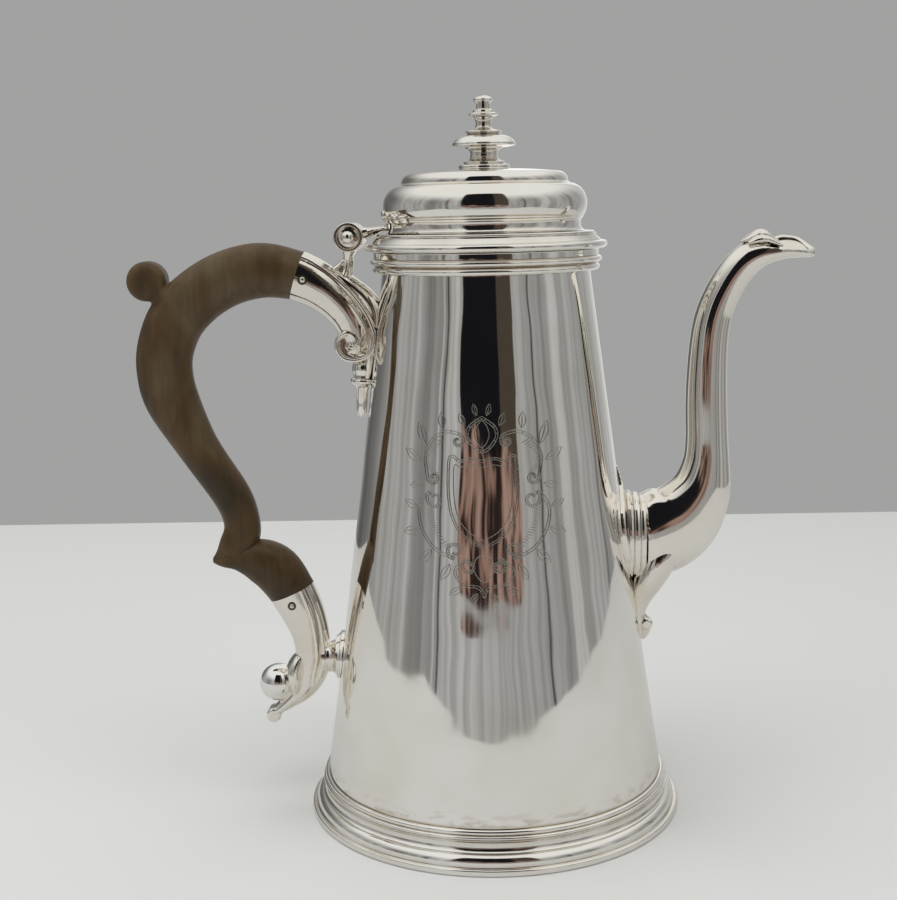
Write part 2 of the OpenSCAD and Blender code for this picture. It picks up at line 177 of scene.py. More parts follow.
pot_middle = (0.0, 0.0, 0.1)
soft_light("overhead_softbox", (-0.15, -0.1, 1.25), pot_middle, (1.3, 1.1), 7.6)
soft_light("left_fill", (-1.2, -0.7, 0.8), pot_middle, (0.8, 0.8), 3.0)
soft_light("right_fill", (1.2, -0.7, 0.8), pot_middle, (0.8, 0.8), 2.5)

# The room round the table: pale grey, with soft upright bands, darker behind the camera.
world = bpy.data.worlds.new("room")
world.use_nodes = True
bpy.context.scene.world = world
room = world.node_tree
room.nodes.clear()
direction = node(room, "ShaderNodeTexCoord").outputs["Generated"]
split = node(room, "ShaderNodeSeparateXYZ")
room.links.new(direction, split.inputs[0])


def room_math(operation, *values):
    """One sum in the room's shading; a value is a number or another node's output."""
    made = node(room, "ShaderNodeMath", operation=operation)
    for place, value in enumerate(values):
        if isinstance(value, (int, float)):
            made.inputs[place].default_value = value
        else:
            room.links.new(value, made.inputs[place])
    return made.outputs[0]


# Turn from the camera's side, 0 to 1 anticlockwise from behind the pot; height, 0 straight down to 1 up.
front = room_math("MULTIPLY", split.outputs["Y"], -1.0)
turn = room_math("MULTIPLY_ADD", room_math("ARCTAN2", split.outputs["X"], front), 0.5 / math.pi, 0.5)
height = room_math("MULTIPLY_ADD", room_math("ARCSINE", split.outputs["Z"]), 1.0 / math.pi, 0.5)


def at_turn(degrees):
    return 0.5 + degrees / 360.0


def at_height(degrees):
    return 0.5 + degrees / 180.0


left_bands = ramp(room, turn, [
    (at_turn(-180), 0.45), (at_turn(-150), 0.11), (at_turn(-130), 0.15), (at_turn(-112), 0.30),
    (at_turn(-98), 0.36), (at_turn(-82), 0.35), (at_turn(-79), 0.27), (at_turn(-75), 0.41),
    (at_turn(-70), 0.35), (at_turn(-66), 0.21), (at_turn(-59), 0.20), (at_turn(-55), 0.26),
    (at_turn(-47), 0.28), (at_turn(-46.4), 0.46), (at_turn(-45.6), 0.27), (at_turn(-43.2), 0.27),
    (at_turn(-42.6), 0.02), (at_turn(-41.4), 0.02), (at_turn(-40.8), 0.34), (at_turn(-31), 0.42),
    (at_turn(-28), 0.40)])
right_bands = ramp(room, turn, [
    (at_turn(28), 0.34), (at_turn(42), 0.31), (at_turn(44.2), 0.31), (at_turn(44.8), 0.02),
    (at_turn(45.9), 0.02), (at_turn(46.5), 0.32), (at_turn(55), 0.29), (at_turn(58), 0.23),
    (at_turn(63), 0.30), (at_turn(66.5), 0.48), (at_turn(74), 0.45), (at_turn(80), 0.24),
    (at_turn(84), 0.35), (at_turn(109), 0.35), (at_turn(110.5), 0.07), (at_turn(113), 0.28),
    (at_turn(135), 0.38), (at_turn(155), 0.56), (at_turn(180), 0.45)])
ceiling = ramp(room, height, [(at_height(14), 0.0), (at_height(48), 1.0)], "EASE")
fine_bands = node(room, "ShaderNodeTexNoise", Scale=5.0, Detail=4.0)
stretched_turn = node(room, "ShaderNodeCombineXYZ")
room.links.new(room_math("MULTIPLY", turn, 14.0), stretched_turn.inputs[0])
room.links.new(room_math("MULTIPLY", height, 0.8), stretched_turn.inputs[1])
room.links.new(stretched_turn.outputs[0], fine_bands.inputs["Vector"])
fine_grey = ramp(room, fine_bands.outputs["Fac"], [(0.38, 0.78), (0.62, 1.12)])
mirrored_room = mixed(room, "MIX", room_math("GREATER_THAN", turn, 0.5), left_bands, right_bands)
mirrored_room = mixed(room, "MULTIPLY", 1.0, mirrored_room, fine_grey)
ceiling_grey = (0.80, 0.80, 0.79, 1.0)
mirrored_room = mixed(room, "MIX", ceiling, mirrored_room, ceiling_grey)
wall_grey = (0.36, 0.36, 0.357, 1.0)
rays = node(room, "ShaderNodeLightPath")
seen = mixed(room, "MIX", rays.outputs["Is Glossy Ray"], wall_grey, mirrored_room)
backdrop = node(room, "ShaderNodeBackground")
room.links.new(seen, backdrop.inputs["Color"])
room_out = node(room, "ShaderNodeOutputWorld")
room.links.new(backdrop.outputs[0], room_out.inputs["Surface"])
bpy.context.scene.view_settings.view_transform = "Standard"

# The dark screen: black above, a warm brown below, with rounded corners.
screen_y = -0.52
screen_low = 0.078
screen_top = 0.90
screen_width = 0.50
screen_corner_r = 0.045
deselect()
bpy.ops.mesh.primitive_plane_add(size=1.0)
screen = bpy.context.object
screen.name = "dark_screen"
screen.scale = (screen_width, screen_top - screen_low, 1.0)
screen.rotation_euler = (math.pi / 2, 0.0, math.pi)
screen.location = (0.0, screen_y, (screen_top + screen_low) / 2)
bpy.ops.object.transform_apply(location=True, rotation=True, scale=True)
bpy.ops.object.mode_set(mode="EDIT")
bpy.ops.mesh.select_all(action="SELECT")
bpy.ops.mesh.bevel(offset=screen_corner_r, segments=8, affect="VERTICES")
bpy.ops.object.mode_set(mode="OBJECT")
screen_cloth = bpy.data.materials.new("screen_cloth")
screen_cloth.use_nodes = True
cloth = screen_cloth.node_tree
cloth.nodes.clear()
cloth_place = node(cloth, "ShaderNodeTexCoord").outputs["Object"]
cloth_split = node(cloth, "ShaderNodeSeparateXYZ")
cloth.links.new(cloth_place, cloth_split.inputs[0])
folds = node(cloth, "ShaderNodeTexNoise", Scale=22.0, Detail=2.0)
cloth.links.new(cloth_place, folds.inputs["Vector"])
uneven = node(cloth, "ShaderNodeMath", operation="MULTIPLY_ADD")
cloth.links.new(folds.outputs["Fac"], uneven.inputs[0])
uneven.inputs[1].default_value = 0.10
cloth.links.new(cloth_split.outputs["Z"], uneven.inputs[2])
cloth_black = ramp(cloth, uneven.outputs[0], [(0.216, 0.0), (0.226, 1.0)])
patches = node(cloth, "ShaderNodeTexNoise", Scale=30.0, Detail=1.5)
cloth.links.new(cloth_place, patches.inputs["Vector"])
warm = ramp(cloth, patches.outputs["Fac"], [
    (0.40, (0.020, 0.013, 0.012)), (0.46, (0.10, 0.062, 0.050)), (0.54, (0.24, 0.150, 0.122)),
    (0.66, (0.33, 0.22, 0.185))])
black_cloth = (0.007, 0.007, 0.009, 1.0)
brown_edge = (0.060, 0.048, 0.036, 1.0)
cloth_colour = mixed(cloth, "MIX", cloth_black, warm, black_cloth)
side_strip = ramp(cloth, cloth_split.outputs["X"], [(0.098, 0.0), (0.102, 1.0)])
glow = node(cloth, "ShaderNodeEmission")
cloth.links.new(mixed(cloth, "LIGHTEN", side_strip, cloth_colour, brown_edge), glow.inputs["Color"])
cloth_out = node(cloth, "ShaderNodeOutputMaterial")
cloth.links.new(glow.outputs[0], cloth_out.inputs["Surface"])
screen.data.materials.append(screen_cloth)
screen.visible_camera = False
screen.visible_diffuse = False
screen.visible_shadow = False


# ---- Body ----
# One disc of silver sheet, raised by hammer over a stake to a tall taper, planished and polished.
# It stands in the foot, carries the rim mouldings, and is pierced as a strainer behind the spout.
def bend(centre, radii, start, end, steps=10):
    """Points in mm along an arc from start to end, in degrees anticlockwise from the outward side."""
    points = []
    for step in range(steps + 1):
        angle = math.radians(start + (end - start) * step / steps)
        points.append((centre[0] + radii[0] * math.cos(angle), centre[1] + radii[1] * math.sin(angle)))
    return points


def turned(name, outline, sides=192):
    """A turned piece about the Z axis, spun from an outline of (radius, height) points in mm."""
    deselect()
    bpy.ops.mesh.primitive_plane_add(size=MM)
    piece = bpy.context.object
    piece.name = name
    points = [Vector((radius, 0.0, height)) * MM for radius, height in outline]
    bpy.ops.object.mode_set(mode="EDIT")
    bpy.ops.mesh.select_all(action="SELECT")
    bpy.ops.mesh.merge(type="CENTER")
    bpy.ops.transform.translate(value=points[0])
    for here, there in zip(points, points[1:]):
        bpy.ops.mesh.extrude_region_move(TRANSFORM_OT_translate={"value": there - here})
    bpy.ops.mesh.select_all(action="SELECT")
    bpy.ops.mesh.spin(steps=sides, angle=math.tau, center=(0.0, 0.0, 0.0), axis=(0.0, 0.0, 1.0))
    bpy.ops.mesh.select_all(action="SELECT")
    bpy.ops.mesh.remove_doubles(threshold=0.002 * MM)
    bpy.ops.mesh.normals_make_consistent(inside=False)
    bpy.ops.object.mode_set(mode="OBJECT")
    smoothed(piece)
    return piece


def smoothed(piece, angle=38.0):
    """Shades a piece smooth, apart from edges sharper than angle."""
    only(piece)
    bpy.ops.object.shade_smooth_by_angle(angle=math.radians(angle))


def applied(piece, kind, **settings):
    """Adds a modifier with its settings and applies it."""
    only(piece)
    modifier = piece.modifiers.new(kind.lower(), kind)
    for name, value in settings.items():
        setattr(modifier, name, value)
    bpy.ops.object.modifier_apply(modifier=modifier.name)


def finished(piece, material, slot, body, *nodes):
    """Gives a piece its finish and its body, and hides the CAD nodes it stands for."""
    piece.data.materials.clear()
    piece.data.materials.append(material)
    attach(piece, body)
    if nodes:
        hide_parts(*nodes)


def silver(name, clean, tarnish, tarnish_reach, rough, wave, scratch, grime_above=None):
    """Polished silver: hammer waves, fine scratches, uneven polish, and tarnish left in the hollows."""
    material = bpy.data.materials.new(name)
    material.use_nodes = True
    tree = material.node_tree
    shader = tree.nodes["Principled BSDF"]
    shader.inputs["Metallic"].default_value = 1.0
    place = node(tree, "ShaderNodeTexCoord").outputs["Object"]

    hollows = ramp(tree, node(tree, "ShaderNodeNewGeometry").outputs["Pointiness"],
                   [(0.40, 1.0), (0.485, tarnish_reach), (0.51, 0.0)])
    blotches = ramp(tree, mottle(tree, place, 70.0, 4.0), [(0.45, 0.35), (0.72, 1.0)])
    stain = mixed(tree, "MULTIPLY", 1.0, hollows, blotches)
    dulled = tuple(part * keep for part, keep in zip(clean, (0.94, 0.925, 0.88)))
    haze = ramp(tree, mottle(tree, place, 38.0, 3.0), [(0.35, clean), (0.75, dulled)])
    pits = ramp(tree, mottle(tree, place, 260.0, 1.0, (1.0, 1.0, 0.55)), [(0.795, 0.0), (0.83, 0.75)])
    stain = mixed(tree, "LIGHTEN", 1.0, stain, pits)
    if grime_above is not None:
        up = node(tree, "ShaderNodeSeparateXYZ")
        tree.links.new(place, up.inputs[0])
        smears = ramp(tree, mottle(tree, place, 210.0, 6.0, (1.0, 1.0, 2.6)), [(0.48, 0.0), (0.66, 0.6)])
        seam = ramp(tree, mottle(tree, place, 90.0, 2.0), [(0.30, 0.65), (0.55, 1.0)])
        for height, layer in ((6.0, smears), (0.9, seam)):
            near = node(tree, "ShaderNodeMapRange")
            near.inputs["From Min"].default_value = grime_above * MM
            near.inputs["From Max"].default_value = (grime_above + height) * MM
            near.inputs["To Min"].default_value = 1.0
            near.inputs["To Max"].default_value = 0.0
            tree.links.new(up.outputs["Z"], near.inputs["Value"])
            stain = mixed(tree, "LIGHTEN", 1.0, stain, mixed(tree, "MULTIPLY", 1.0, layer, near.outputs[0]))
    tree.links.new(mixed(tree, "MIX", stain, haze, (*tarnish, 1.0)), shader.inputs["Base Color"])

    wiping = mottle(tree, place, 55.0, 5.0, (1.0, 1.0, 0.45))
    wiped = ramp(tree, wiping, [(0.3, rough[0]), (0.75, rough[1])])
    worn = mixed(tree, "MIX", hollows, wiped, (rough[1] * 2.2,) * 3 + (1.0,))
    tree.links.new(worn, shader.inputs["Roughness"])

    waves = node(tree, "ShaderNodeBump", Strength=1.0, Distance=wave * MM)
    tree.links.new(mottle(tree, place, 62.0, 1.6, (1.0, 1.0, 0.42)), waves.inputs["Height"])
    lines = node(tree, "ShaderNodeBump", Strength=1.0, Distance=scratch * MM)
    tree.links.new(mottle(tree, place, 900.0, 2.0, (1.0, 1.0, 0.08)), lines.inputs["Height"])
    tree.links.new(waves.outputs[0], lines.inputs["Normal"])
    tree.links.new(lines.outputs[0], shader.inputs["Normal"])
    return material


clean_silver = (0.955, 0.94, 0.905)
warm_tarnish = (0.50, 0.40, 0.28)
sheet_silver = silver("sheet_silver", clean_silver, warm_tarnish, 0.25, (0.025, 0.060), 0.20, 0.0006,
                      grime_above=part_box("foot_ring")[1].z / MM)

low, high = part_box("body_wall")
sheet = 1.1
body_low_z = low.z / MM
body_high_z = high.z / MM
body_foot_r = high.x / MM
foot_top_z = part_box("foot_ring")[1].z / MM
rim_low_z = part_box("rim_ring")[0].z / MM
body_neck_r = 33.6
waist = 0.6


def body_radius(z):
    """Outside radius of the body, in mm, at height z in mm."""
    share = min(max((z - foot_top_z) / (rim_low_z - foot_top_z), 0.0), 1.0)
    slope = (body_foot_r - body_neck_r) / (rim_low_z - foot_top_z)
    return body_foot_r - slope * (z - foot_top_z) - waist * math.sin(math.pi * share)


wall_steps = 70
body_height = body_high_z - body_low_z
wall_heights = [body_low_z + body_height * step / wall_steps for step in range(wall_steps + 1)]
outside = [(min(body_radius(z), body_foot_r), z) for z in wall_heights]
inside = [(radius - sheet, z) for radius, z in reversed(outside)]
body = turned("raised_body", outside + inside + outside[:1], 256)
hammer = bpy.data.textures.new("hammer_marks", "CLOUDS")
hammer.noise_scale = 0.020
hammer.noise_depth = 0
applied(body, "DISPLACE", texture=hammer, strength=0.24 * MM, mid_level=0.5, texture_coords="LOCAL")
hammer.noise_scale = 0.0085
applied(body, "DISPLACE", texture=hammer, strength=0.05 * MM, mid_level=0.5, texture_coords="LOCAL")

spout_root_z = (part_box("spout_left_half")[0].z + 15.6 * MM) / MM
strainer_hole_r = 1.4
strainer_pitch = 4.6
strainer_rows = 6
deselect()
drills = []
for row in range(strainer_rows):
    odd = row % 2
    for column in range(3 - odd):
        across = strainer_pitch * (column - 1 + 0.5 * odd)
        up = spout_root_z + strainer_pitch * (row - (strainer_rows - 1) / 2)
        bpy.ops.mesh.primitive_cylinder_add(
            vertices=24, radius=strainer_hole_r * MM, depth=10 * MM,
            location=(body_radius(up) * MM, across * MM, up * MM), rotation=(0.0, math.pi / 2, 0.0))
        drills.append(bpy.context.object)
deselect()
for drill in drills:
    drill.select_set(True)
bpy.context.view_layer.objects.active = drills[0]
bpy.ops.object.join()
drill = bpy.context.object
applied(body, "BOOLEAN", object=drill, operation="DIFFERENCE", solver="EXACT")
bpy.data.objects.remove(drill)
smoothed(body)
finished(body, sheet_silver, "silver", "pot", "body_wall")


# ---- Bottom plate ----
# A plain disc of silver, soldered in at the bottom of the body and left dull from the solder.
# The bezel inside the lid and the nut under it are left as dull, because nobody sees them.
dull_silver = silver("dull_silver", (0.80, 0.77, 0.71), warm_tarnish, 0.5, (0.22, 0.38), 0.08, 0.002)
for name in ("bottom_plate", "lid_bezel", "finial_nut"):
    frame["nodes"][name].data.materials.clear()
    frame["nodes"][name].data.materials.append(dull_silver)


# ---- Foot ----
# A cast silver ring, turned on the lathe and soldered round the bottom of the body.
# From the table up: a thin flange, a broad rounded step, a small hollow and two beads.
moulding_silver = silver("moulding_silver", (0.945, 0.925, 0.88), warm_tarnish, 0.3,
                         (0.05, 0.10), 0.02, 0.0008)
foot_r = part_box("foot_ring")[1].x / MM
foot = turned("foot_moulding",
    [(foot_r - 2.2, 0.0), (foot_r - 0.7, 0.0)]
    + bend((foot_r - 0.7, 0.7), (0.7, 0.7), -80, 0, 5)
    + bend((foot_r - 0.6, 1.6), (0.6, 0.6), 0, 80, 5)
    + [(foot_r - 1.35, 2.22), (foot_r - 1.5, 2.5)]
    + bend((57.9, 3.0), (2.6, 2.9), 2, 86, 16)
    + bend((58.6, 8.0), (1.5, 2.1), 255, 122, 12)
    + bend((57.2, 10.4), (0.8, 0.65), -60, 82, 10)
    + bend((56.5, 11.9), (0.95, 0.9), -60, 88, 10)
    + [(body_foot_r, foot_top_z), (body_foot_r, 11.0), (54.4, 11.0), (54.6, 7.0), (57.0, 4.0),
       (foot_r - 2.2, 0.0)])
finished(foot, moulding_silver, "silver", "pot", "foot_ring")


# ---- Rim mouldings ----
# A drawn silver wire of two beads and a plain band.
# It is bent round the top of the body and soldered on, and stiffens the rim.
rim_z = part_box("rim_ring")[1].z / MM
rim = turned("rim_moulding",
    [(body_neck_r, rim_low_z), (body_neck_r + 1.2, rim_low_z + 0.05)]
    + bend((35.3, 179.9), (1.3, 1.0), -85, 78, 12)
    + bend((35.9, 182.4), (1.4, 1.0), -78, 88, 12)
    + [(36.2, 183.6), (36.2, rim_z - 0.3)]
    + bend((35.9, rim_z - 0.3), (0.3, 0.3), 0, 90, 4)
    + [(body_radius(rim_z), rim_z), (body_neck_r, rim_low_z)])
finished(rim, moulding_silver, "silver", "pot", "rim_ring")


# ---- Lid ----
# Two pieces of silver soldered together: a turned flange that rests on the rim, and a dome raised
# from sheet, with a hollow neck, a cushion, a step and a low crown.
lid_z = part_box("lid_flange")[0].z / MM
lid_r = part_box("lid_flange")[1].x / MM
crown_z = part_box("lid_dome")[1].z / MM
flange_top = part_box("lid_flange")[1].z / MM
flange = turned("lid_flange_moulding",
    [(30.6, lid_z), (lid_r - 0.9, lid_z)]
    + bend((lid_r - 1.0, lid_z + 1.2), (1.0, 1.1), -75, 80, 14)
    + [(37.0, lid_z + 2.45), (36.8, lid_z + 2.8)]
    + bend((36.9, 190.2), (1.5, 1.2), 200, 150, 6)
    + bend((34.2, 190.2), (1.0, 1.0), -10, 90, 12)
    + [(29.6, flange_top), (29.6, 188.6), (30.6, 188.6), (30.6, lid_z)])
finished(flange, moulding_silver, "silver", "lid", "lid_flange")

neck_arc = bend((32.2, 193.6), (1.6, 2.3), 268, 115, 14)
cushion_arc = bend((26.8, 199.8), (5.9, 6.5), -38, 84, 24)
step_arc = bend((23.6, 206.9), (3.1, 3.1), 0, 84, 12)
crown_arc = []
for step in range(11):
    radius = 22.6 - 1.4 * step
    crown_arc.append((radius, crown_z - 0.8 * ((radius - 8.6) / 14.0) ** 2))
dome_inside = (bend((32.2, 193.6), (2.6, 3.3), 226, 128, 12) + bend((26.8, 199.8), (4.9, 5.5), -38, 78, 18)
               + [(radius, z - 1.0) for radius, z in crown_arc])
dome = turned("lid_dome_raised", [(1.6, crown_z)] + list(reversed(crown_arc))
              + list(reversed(step_arc)) + list(reversed(cushion_arc)) + list(reversed(neck_arc))
              + dome_inside + [(1.6, crown_z - 1.0), (1.6, crown_z)])
finished(dome, moulding_silver, "silver", "lid", "lid_dome")


# ---- Finial ----
# Turned from solid silver, with a small disc under it.
# Its stem passes through the top of the lid and a nut holds it from inside.
base_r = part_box("finial_base")[1].x / MM
base_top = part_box("finial_base")[1].z / MM
base = turned("finial_base_disc",
    [(1.6, crown_z), (base_r - 0.5, crown_z)]
    + bend((base_r - 0.8, 211.7), (0.8, 0.8), -55, 82, 10)
    + [(6.9, base_top), (1.6, base_top), (1.6, crown_z)], 128)
finished(base, moulding_silver, "silver", "lid", "finial_base")

finial_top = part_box("finial")[1].z / MM - 0.01
finial = turned("finial_turned",
    [(0.0, 206.6), (1.6, 206.6), (1.6, base_top), (6.6, base_top)]
    + bend((6.2, base_top + 0.4), (0.4, 0.4), -60, 85, 5)
    + [(5.8, 213.5), (5.0, 213.9), (4.55, 214.5), (4.35, 215.2), (4.3, 215.9), (4.5, 216.6), (5.0, 217.1),
       (5.9, 217.5), (6.1, 217.8), (8.0, 217.95), (9.4, 218.2)]
    + bend((9.6, 218.85), (0.55, 0.6), -70, 60, 8)
    + [(9.3, 220.2), (8.3, 220.9), (7.0, 221.4), (5.6, 221.7), (5.2, 221.9), (5.1, 222.2)]
    + bend((5.2, 222.6), (0.6, 0.4), -60, 88, 6)
    + [(4.0, 223.2), (3.1, 223.5), (2.6, 224.1), (2.45, 225.0), (2.5, 225.9), (2.75, 226.6), (3.1, 227.0),
       (3.1, 227.3), (3.9, 227.5)]
    + bend((4.2, 228.0), (0.5, 0.4), -75, 75, 6)
    + [(3.5, 228.7), (3.3, 229.3), (2.9, 229.5), (2.3, 229.8), (2.2, 230.5), (2.2, 231.3), (2.45, 231.6)]
    + bend((0.0, 232.5), (3.1, finial_top - 232.5), -22, 90, 14), 128)
finished(finial, moulding_silver, "silver", "lid", "finial")


# ---- Spout ----
# Cast in silver as two halves and soldered along the middle: a deep root, an upright neck and a
# cut-away lip, with a small folded leaf over the back of the opening.
def along(stations, steps):
    """Smooth stations between the given ones; each is (x, z, half width in plane, half width across)."""
    made = []
    last = len(stations) - 1
    for here in range(last):
        a, b, c, d = (stations[max(here - 1, 0)], stations[here], stations[here + 1],
                      stations[min(here + 2, last)])
        for step in range(steps):
            t = step / steps
            made.append([
                q + 0.5 * t * ((r - p) + t * ((2 * p - 5 * q + 4 * r - s) + t * (3 * (q - r) + s - p)))
                for p, q, r, s in zip(a, b, c, d)])
    made.append(list(stations[last]))
    return made


def swept(name, stations, steps=4, sides=32, first_heading=None, closed=True, across=0.0):
    """A tube of oval section swept along stations in the plane Y = across, in mm."""
    route = along(stations, steps)
    deselect()
    bpy.ops.mesh.primitive_circle_add(vertices=sides, radius=MM)
    piece = bpy.context.object
    piece.name = name
    bpy.ops.object.mode_set(mode="EDIT")
    bpy.ops.mesh.select_all(action="SELECT")
    here = Vector((0.0, 0.0, 0.0))
    tilt = 0.0
    size = (1.0, 1.0)
    for place, station in enumerate(route):
        before = route[max(place - 1, 0)]
        after = route[min(place + 1, len(route) - 1)]
        heading = math.atan2(after[1] - before[1], after[0] - before[0])
        if place == 0 and first_heading is not None:
            heading = math.radians(first_heading)
        there = Vector((station[0], across, station[1])) * MM
        if place == 0:
            bpy.ops.transform.translate(value=there - here)
        else:
            bpy.ops.mesh.extrude_region_move(TRANSFORM_OT_translate={"value": there - here})
            bpy.ops.transform.rotate(value=tilt, orient_axis="Y", center_override=there)
        growth = (station[2] / size[0], station[3] / size[1], 1.0)
        bpy.ops.transform.resize(value=growth, center_override=there)
        tilt = -(heading + math.pi / 2)
        bpy.ops.transform.rotate(value=-tilt, orient_axis="Y", center_override=there)
        size = (station[2], station[3])
        here = there
    if closed:
        bpy.ops.mesh.select_all(action="DESELECT")
        bpy.ops.mesh.select_mode(type="EDGE")
        bpy.ops.mesh.select_non_manifold()
        bpy.ops.mesh.fill_holes(sides=0)
    bpy.ops.mesh.select_mode(type="VERT")
    bpy.ops.mesh.select_all(action="SELECT")
    bpy.ops.mesh.normals_make_consistent(inside=False)
    bpy.ops.object.mode_set(mode="OBJECT")
    smoothed(piece)
    return piece


def reshape(piece, chosen, move, reach):
    """Pulls the chosen points by move, and their neighbours within reach with them, all in mm."""
    only(piece)
    bpy.ops.object.mode_set(mode="EDIT")
    bpy.ops.mesh.select_mode(type="VERT")
    bpy.ops.mesh.select_all(action="DESELECT")
    bpy.ops.object.mode_set(mode="OBJECT")
    for vertex in piece.data.vertices:
        vertex.select = chosen(*(vertex.co / MM))
    bpy.ops.object.mode_set(mode="EDIT")
    bpy.ops.transform.translate(value=Vector(move) * MM, use_proportional_edit=reach > 0,
                                proportional_size=max(reach, 0.1) * MM, proportional_edit_falloff="SMOOTH")
    bpy.ops.object.mode_set(mode="OBJECT")


def sawn(piece, joint, face, depth=9.0, half=13.0):
    """Takes away what stands past a joint, to a depth and half width in mm; face points to the waste."""
    deselect()
    bpy.ops.mesh.primitive_cube_add(size=2.0)
    saw = bpy.context.object
    saw.scale = (half * MM, half * MM, depth * MM)
    saw.rotation_euler = Vector(face).to_track_quat("Z", "Y").to_euler()
    saw.location = (Vector(joint) + Vector(face) * depth) * MM
    applied(piece, "BOOLEAN", object=saw, operation="DIFFERENCE", solver="EXACT")
    bpy.data.objects.remove(saw)


def cut(piece, point, normal, fill=False):
    """Saws a piece through point and takes away the side that normal points to; point in mm."""
    only(piece)
    bpy.ops.object.mode_set(mode="EDIT")
    bpy.ops.mesh.select_all(action="SELECT")
    bpy.ops.mesh.bisect(plane_co=Vector(point) * MM, plane_no=normal, clear_outer=True, use_fill=fill)
    bpy.ops.object.mode_set(mode="OBJECT")


def joined(name, pieces):
    """Makes several pieces one."""
    deselect()
    for piece in pieces:
        piece.select_set(True)
    bpy.context.view_layer.objects.active = pieces[0]
    bpy.ops.object.join()
    bpy.context.object.name = name
    return bpy.context.object


def fused(name, pieces, grain, soften):
    """Joins pieces, melts them into one skin with a grain in mm, and softens it."""
    piece = joined(name, pieces)
    applied(piece, "REMESH", mode="VOXEL", voxel_size=grain * MM, use_smooth_shade=True)
    if soften:
        applied(piece, "SMOOTH", factor=0.5, iterations=soften)
    only(piece)
    bpy.ops.object.shade_smooth()
    return piece


cast_silver = silver("cast_silver", (0.925, 0.895, 0.835), warm_tarnish, 0.55, (0.045, 0.11), 0.05, 0.0008)
spout_wall = 1.2
root_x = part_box("spout_left_half")[0].x / MM
spout_stations = [
    (root_x, spout_root_z - 1.8, 13.8, 9.3), (58.4, 92.9, 14.4, 9.1), (64.6, 97.5, 12.9, 8.6),
    (69.4, 105.4, 10.2, 7.8), (71.2, 113.8, 7.9, 7.0), (71.5, 122.0, 6.95, 6.4), (71.2, 136.0, 6.7, 6.1),
    (71.6, 151.0, 6.25, 5.8), (73.0, 162.0, 5.9, 5.5), (76.6, 171.2, 5.6, 5.4), (81.7, 178.8, 5.3, 5.6),
    (87.4, 183.0, 4.7, 6.0), (94.0, 184.4, 3.7, 6.2), (100.0, 183.9, 2.7, 5.2), (104.2, 182.9, 1.7, 3.2),
    (105.3, 182.7, 0.9, 1.6)]
spout = swept("cast_spout", spout_stations, 5, 48, first_heading=0.0, closed=False)
lip_slope = -0.105
cut(spout, (84.0, 0.0, 186.3), (-lip_slope, 0.0, 1.0))
reshape(spout, lambda x, y, z: 96.0 < x < 101.0 and z > 183.6 and y > 3.0, (0.0, 0.0, 2.2), 6.5)
applied(spout, "SOLIDIFY", thickness=spout_wall * MM, offset=-1.0, use_even_offset=False, use_rim=True)
applied(spout, "BEVEL", width=0.3 * MM, segments=2, limit_method="ANGLE", angle_limit=math.radians(60))
for vertex in spout.data.vertices:
    reach = min(max((vertex.co.x / MM - 78.0) / 14.0, 0.0), 1.0)
    if vertex.co.z > 0.165:
        vertex.co.z += 0.18 * vertex.co.y * reach * reach * (3 - 2 * reach)
smoothed(spout)
only(spout)
bpy.ops.object.duplicate()
spout_back = bpy.context.object
spout.name = "cast_spout_right"
spout_back.name = "cast_spout_left"
cut(spout, (0.0, 0.0, 0.0), (0.0, 1.0, 0.0), True)
cut(spout_back, (0.0, 0.0, 0.0), (0.0, -1.0, 0.0), True)
smoothed(spout)
smoothed(spout_back)
lip_leaf = fused("lip_leaf", [
    swept("leaf_middle", [(81.6, 186.3, 0.4, 1.0), (84.2, 187.3, 1.1, 2.6), (87.2, 188.3, 1.9, 2.4),
                          (89.6, 188.2, 1.7, 2.0), (93.4, 185.9, 0.4, 0.8)], 4, 20),
    swept("leaf_front", [(83.4, 185.9, 0.5, 1.2), (86.4, 186.9, 1.3, 2.0), (89.6, 187.0, 1.3, 1.8),
                         (94.6, 184.9, 0.4, 0.8)], 4, 16, across=-3.6),
    swept("leaf_back", [(83.4, 186.7, 0.5, 1.2), (86.4, 188.0, 1.4, 2.0), (89.6, 188.0, 1.4, 1.8),
                        (94.6, 186.3, 0.4, 0.8)], 4, 16, across=3.6)], 0.2, 1)
finished(lip_leaf, cast_silver, "silver", "pot")
finished(spout, cast_silver, "silver", "pot", "spout_right_half")
finished(spout_back, cast_silver, "silver", "pot", "spout_left_half")


# ---- Spout collar ----
# A cast silver plate with pointed ends, soldered on the body over the strainer.
# Oval steps stand on it, and the spout's root is soldered into them.
root_half_z = 13.3
collar_z = spout_root_z - 1.2
root_half_y = 9.2


def stepped_out(x_from, grow_from, x_to, grow_to):
    """Pulls the chosen oval face along X and makes it larger or smaller, in mm."""
    bpy.ops.mesh.extrude_region_move(TRANSFORM_OT_translate={"value": ((x_to - x_from) * MM, 0.0, 0.0)})
    bpy.ops.transform.resize(
        value=(1.0, (root_half_y + grow_to) / (root_half_y + grow_from),
               (root_half_z + grow_to) / (root_half_z + grow_from)),
        center_override=(x_to * MM, 0.0, collar_z * MM))


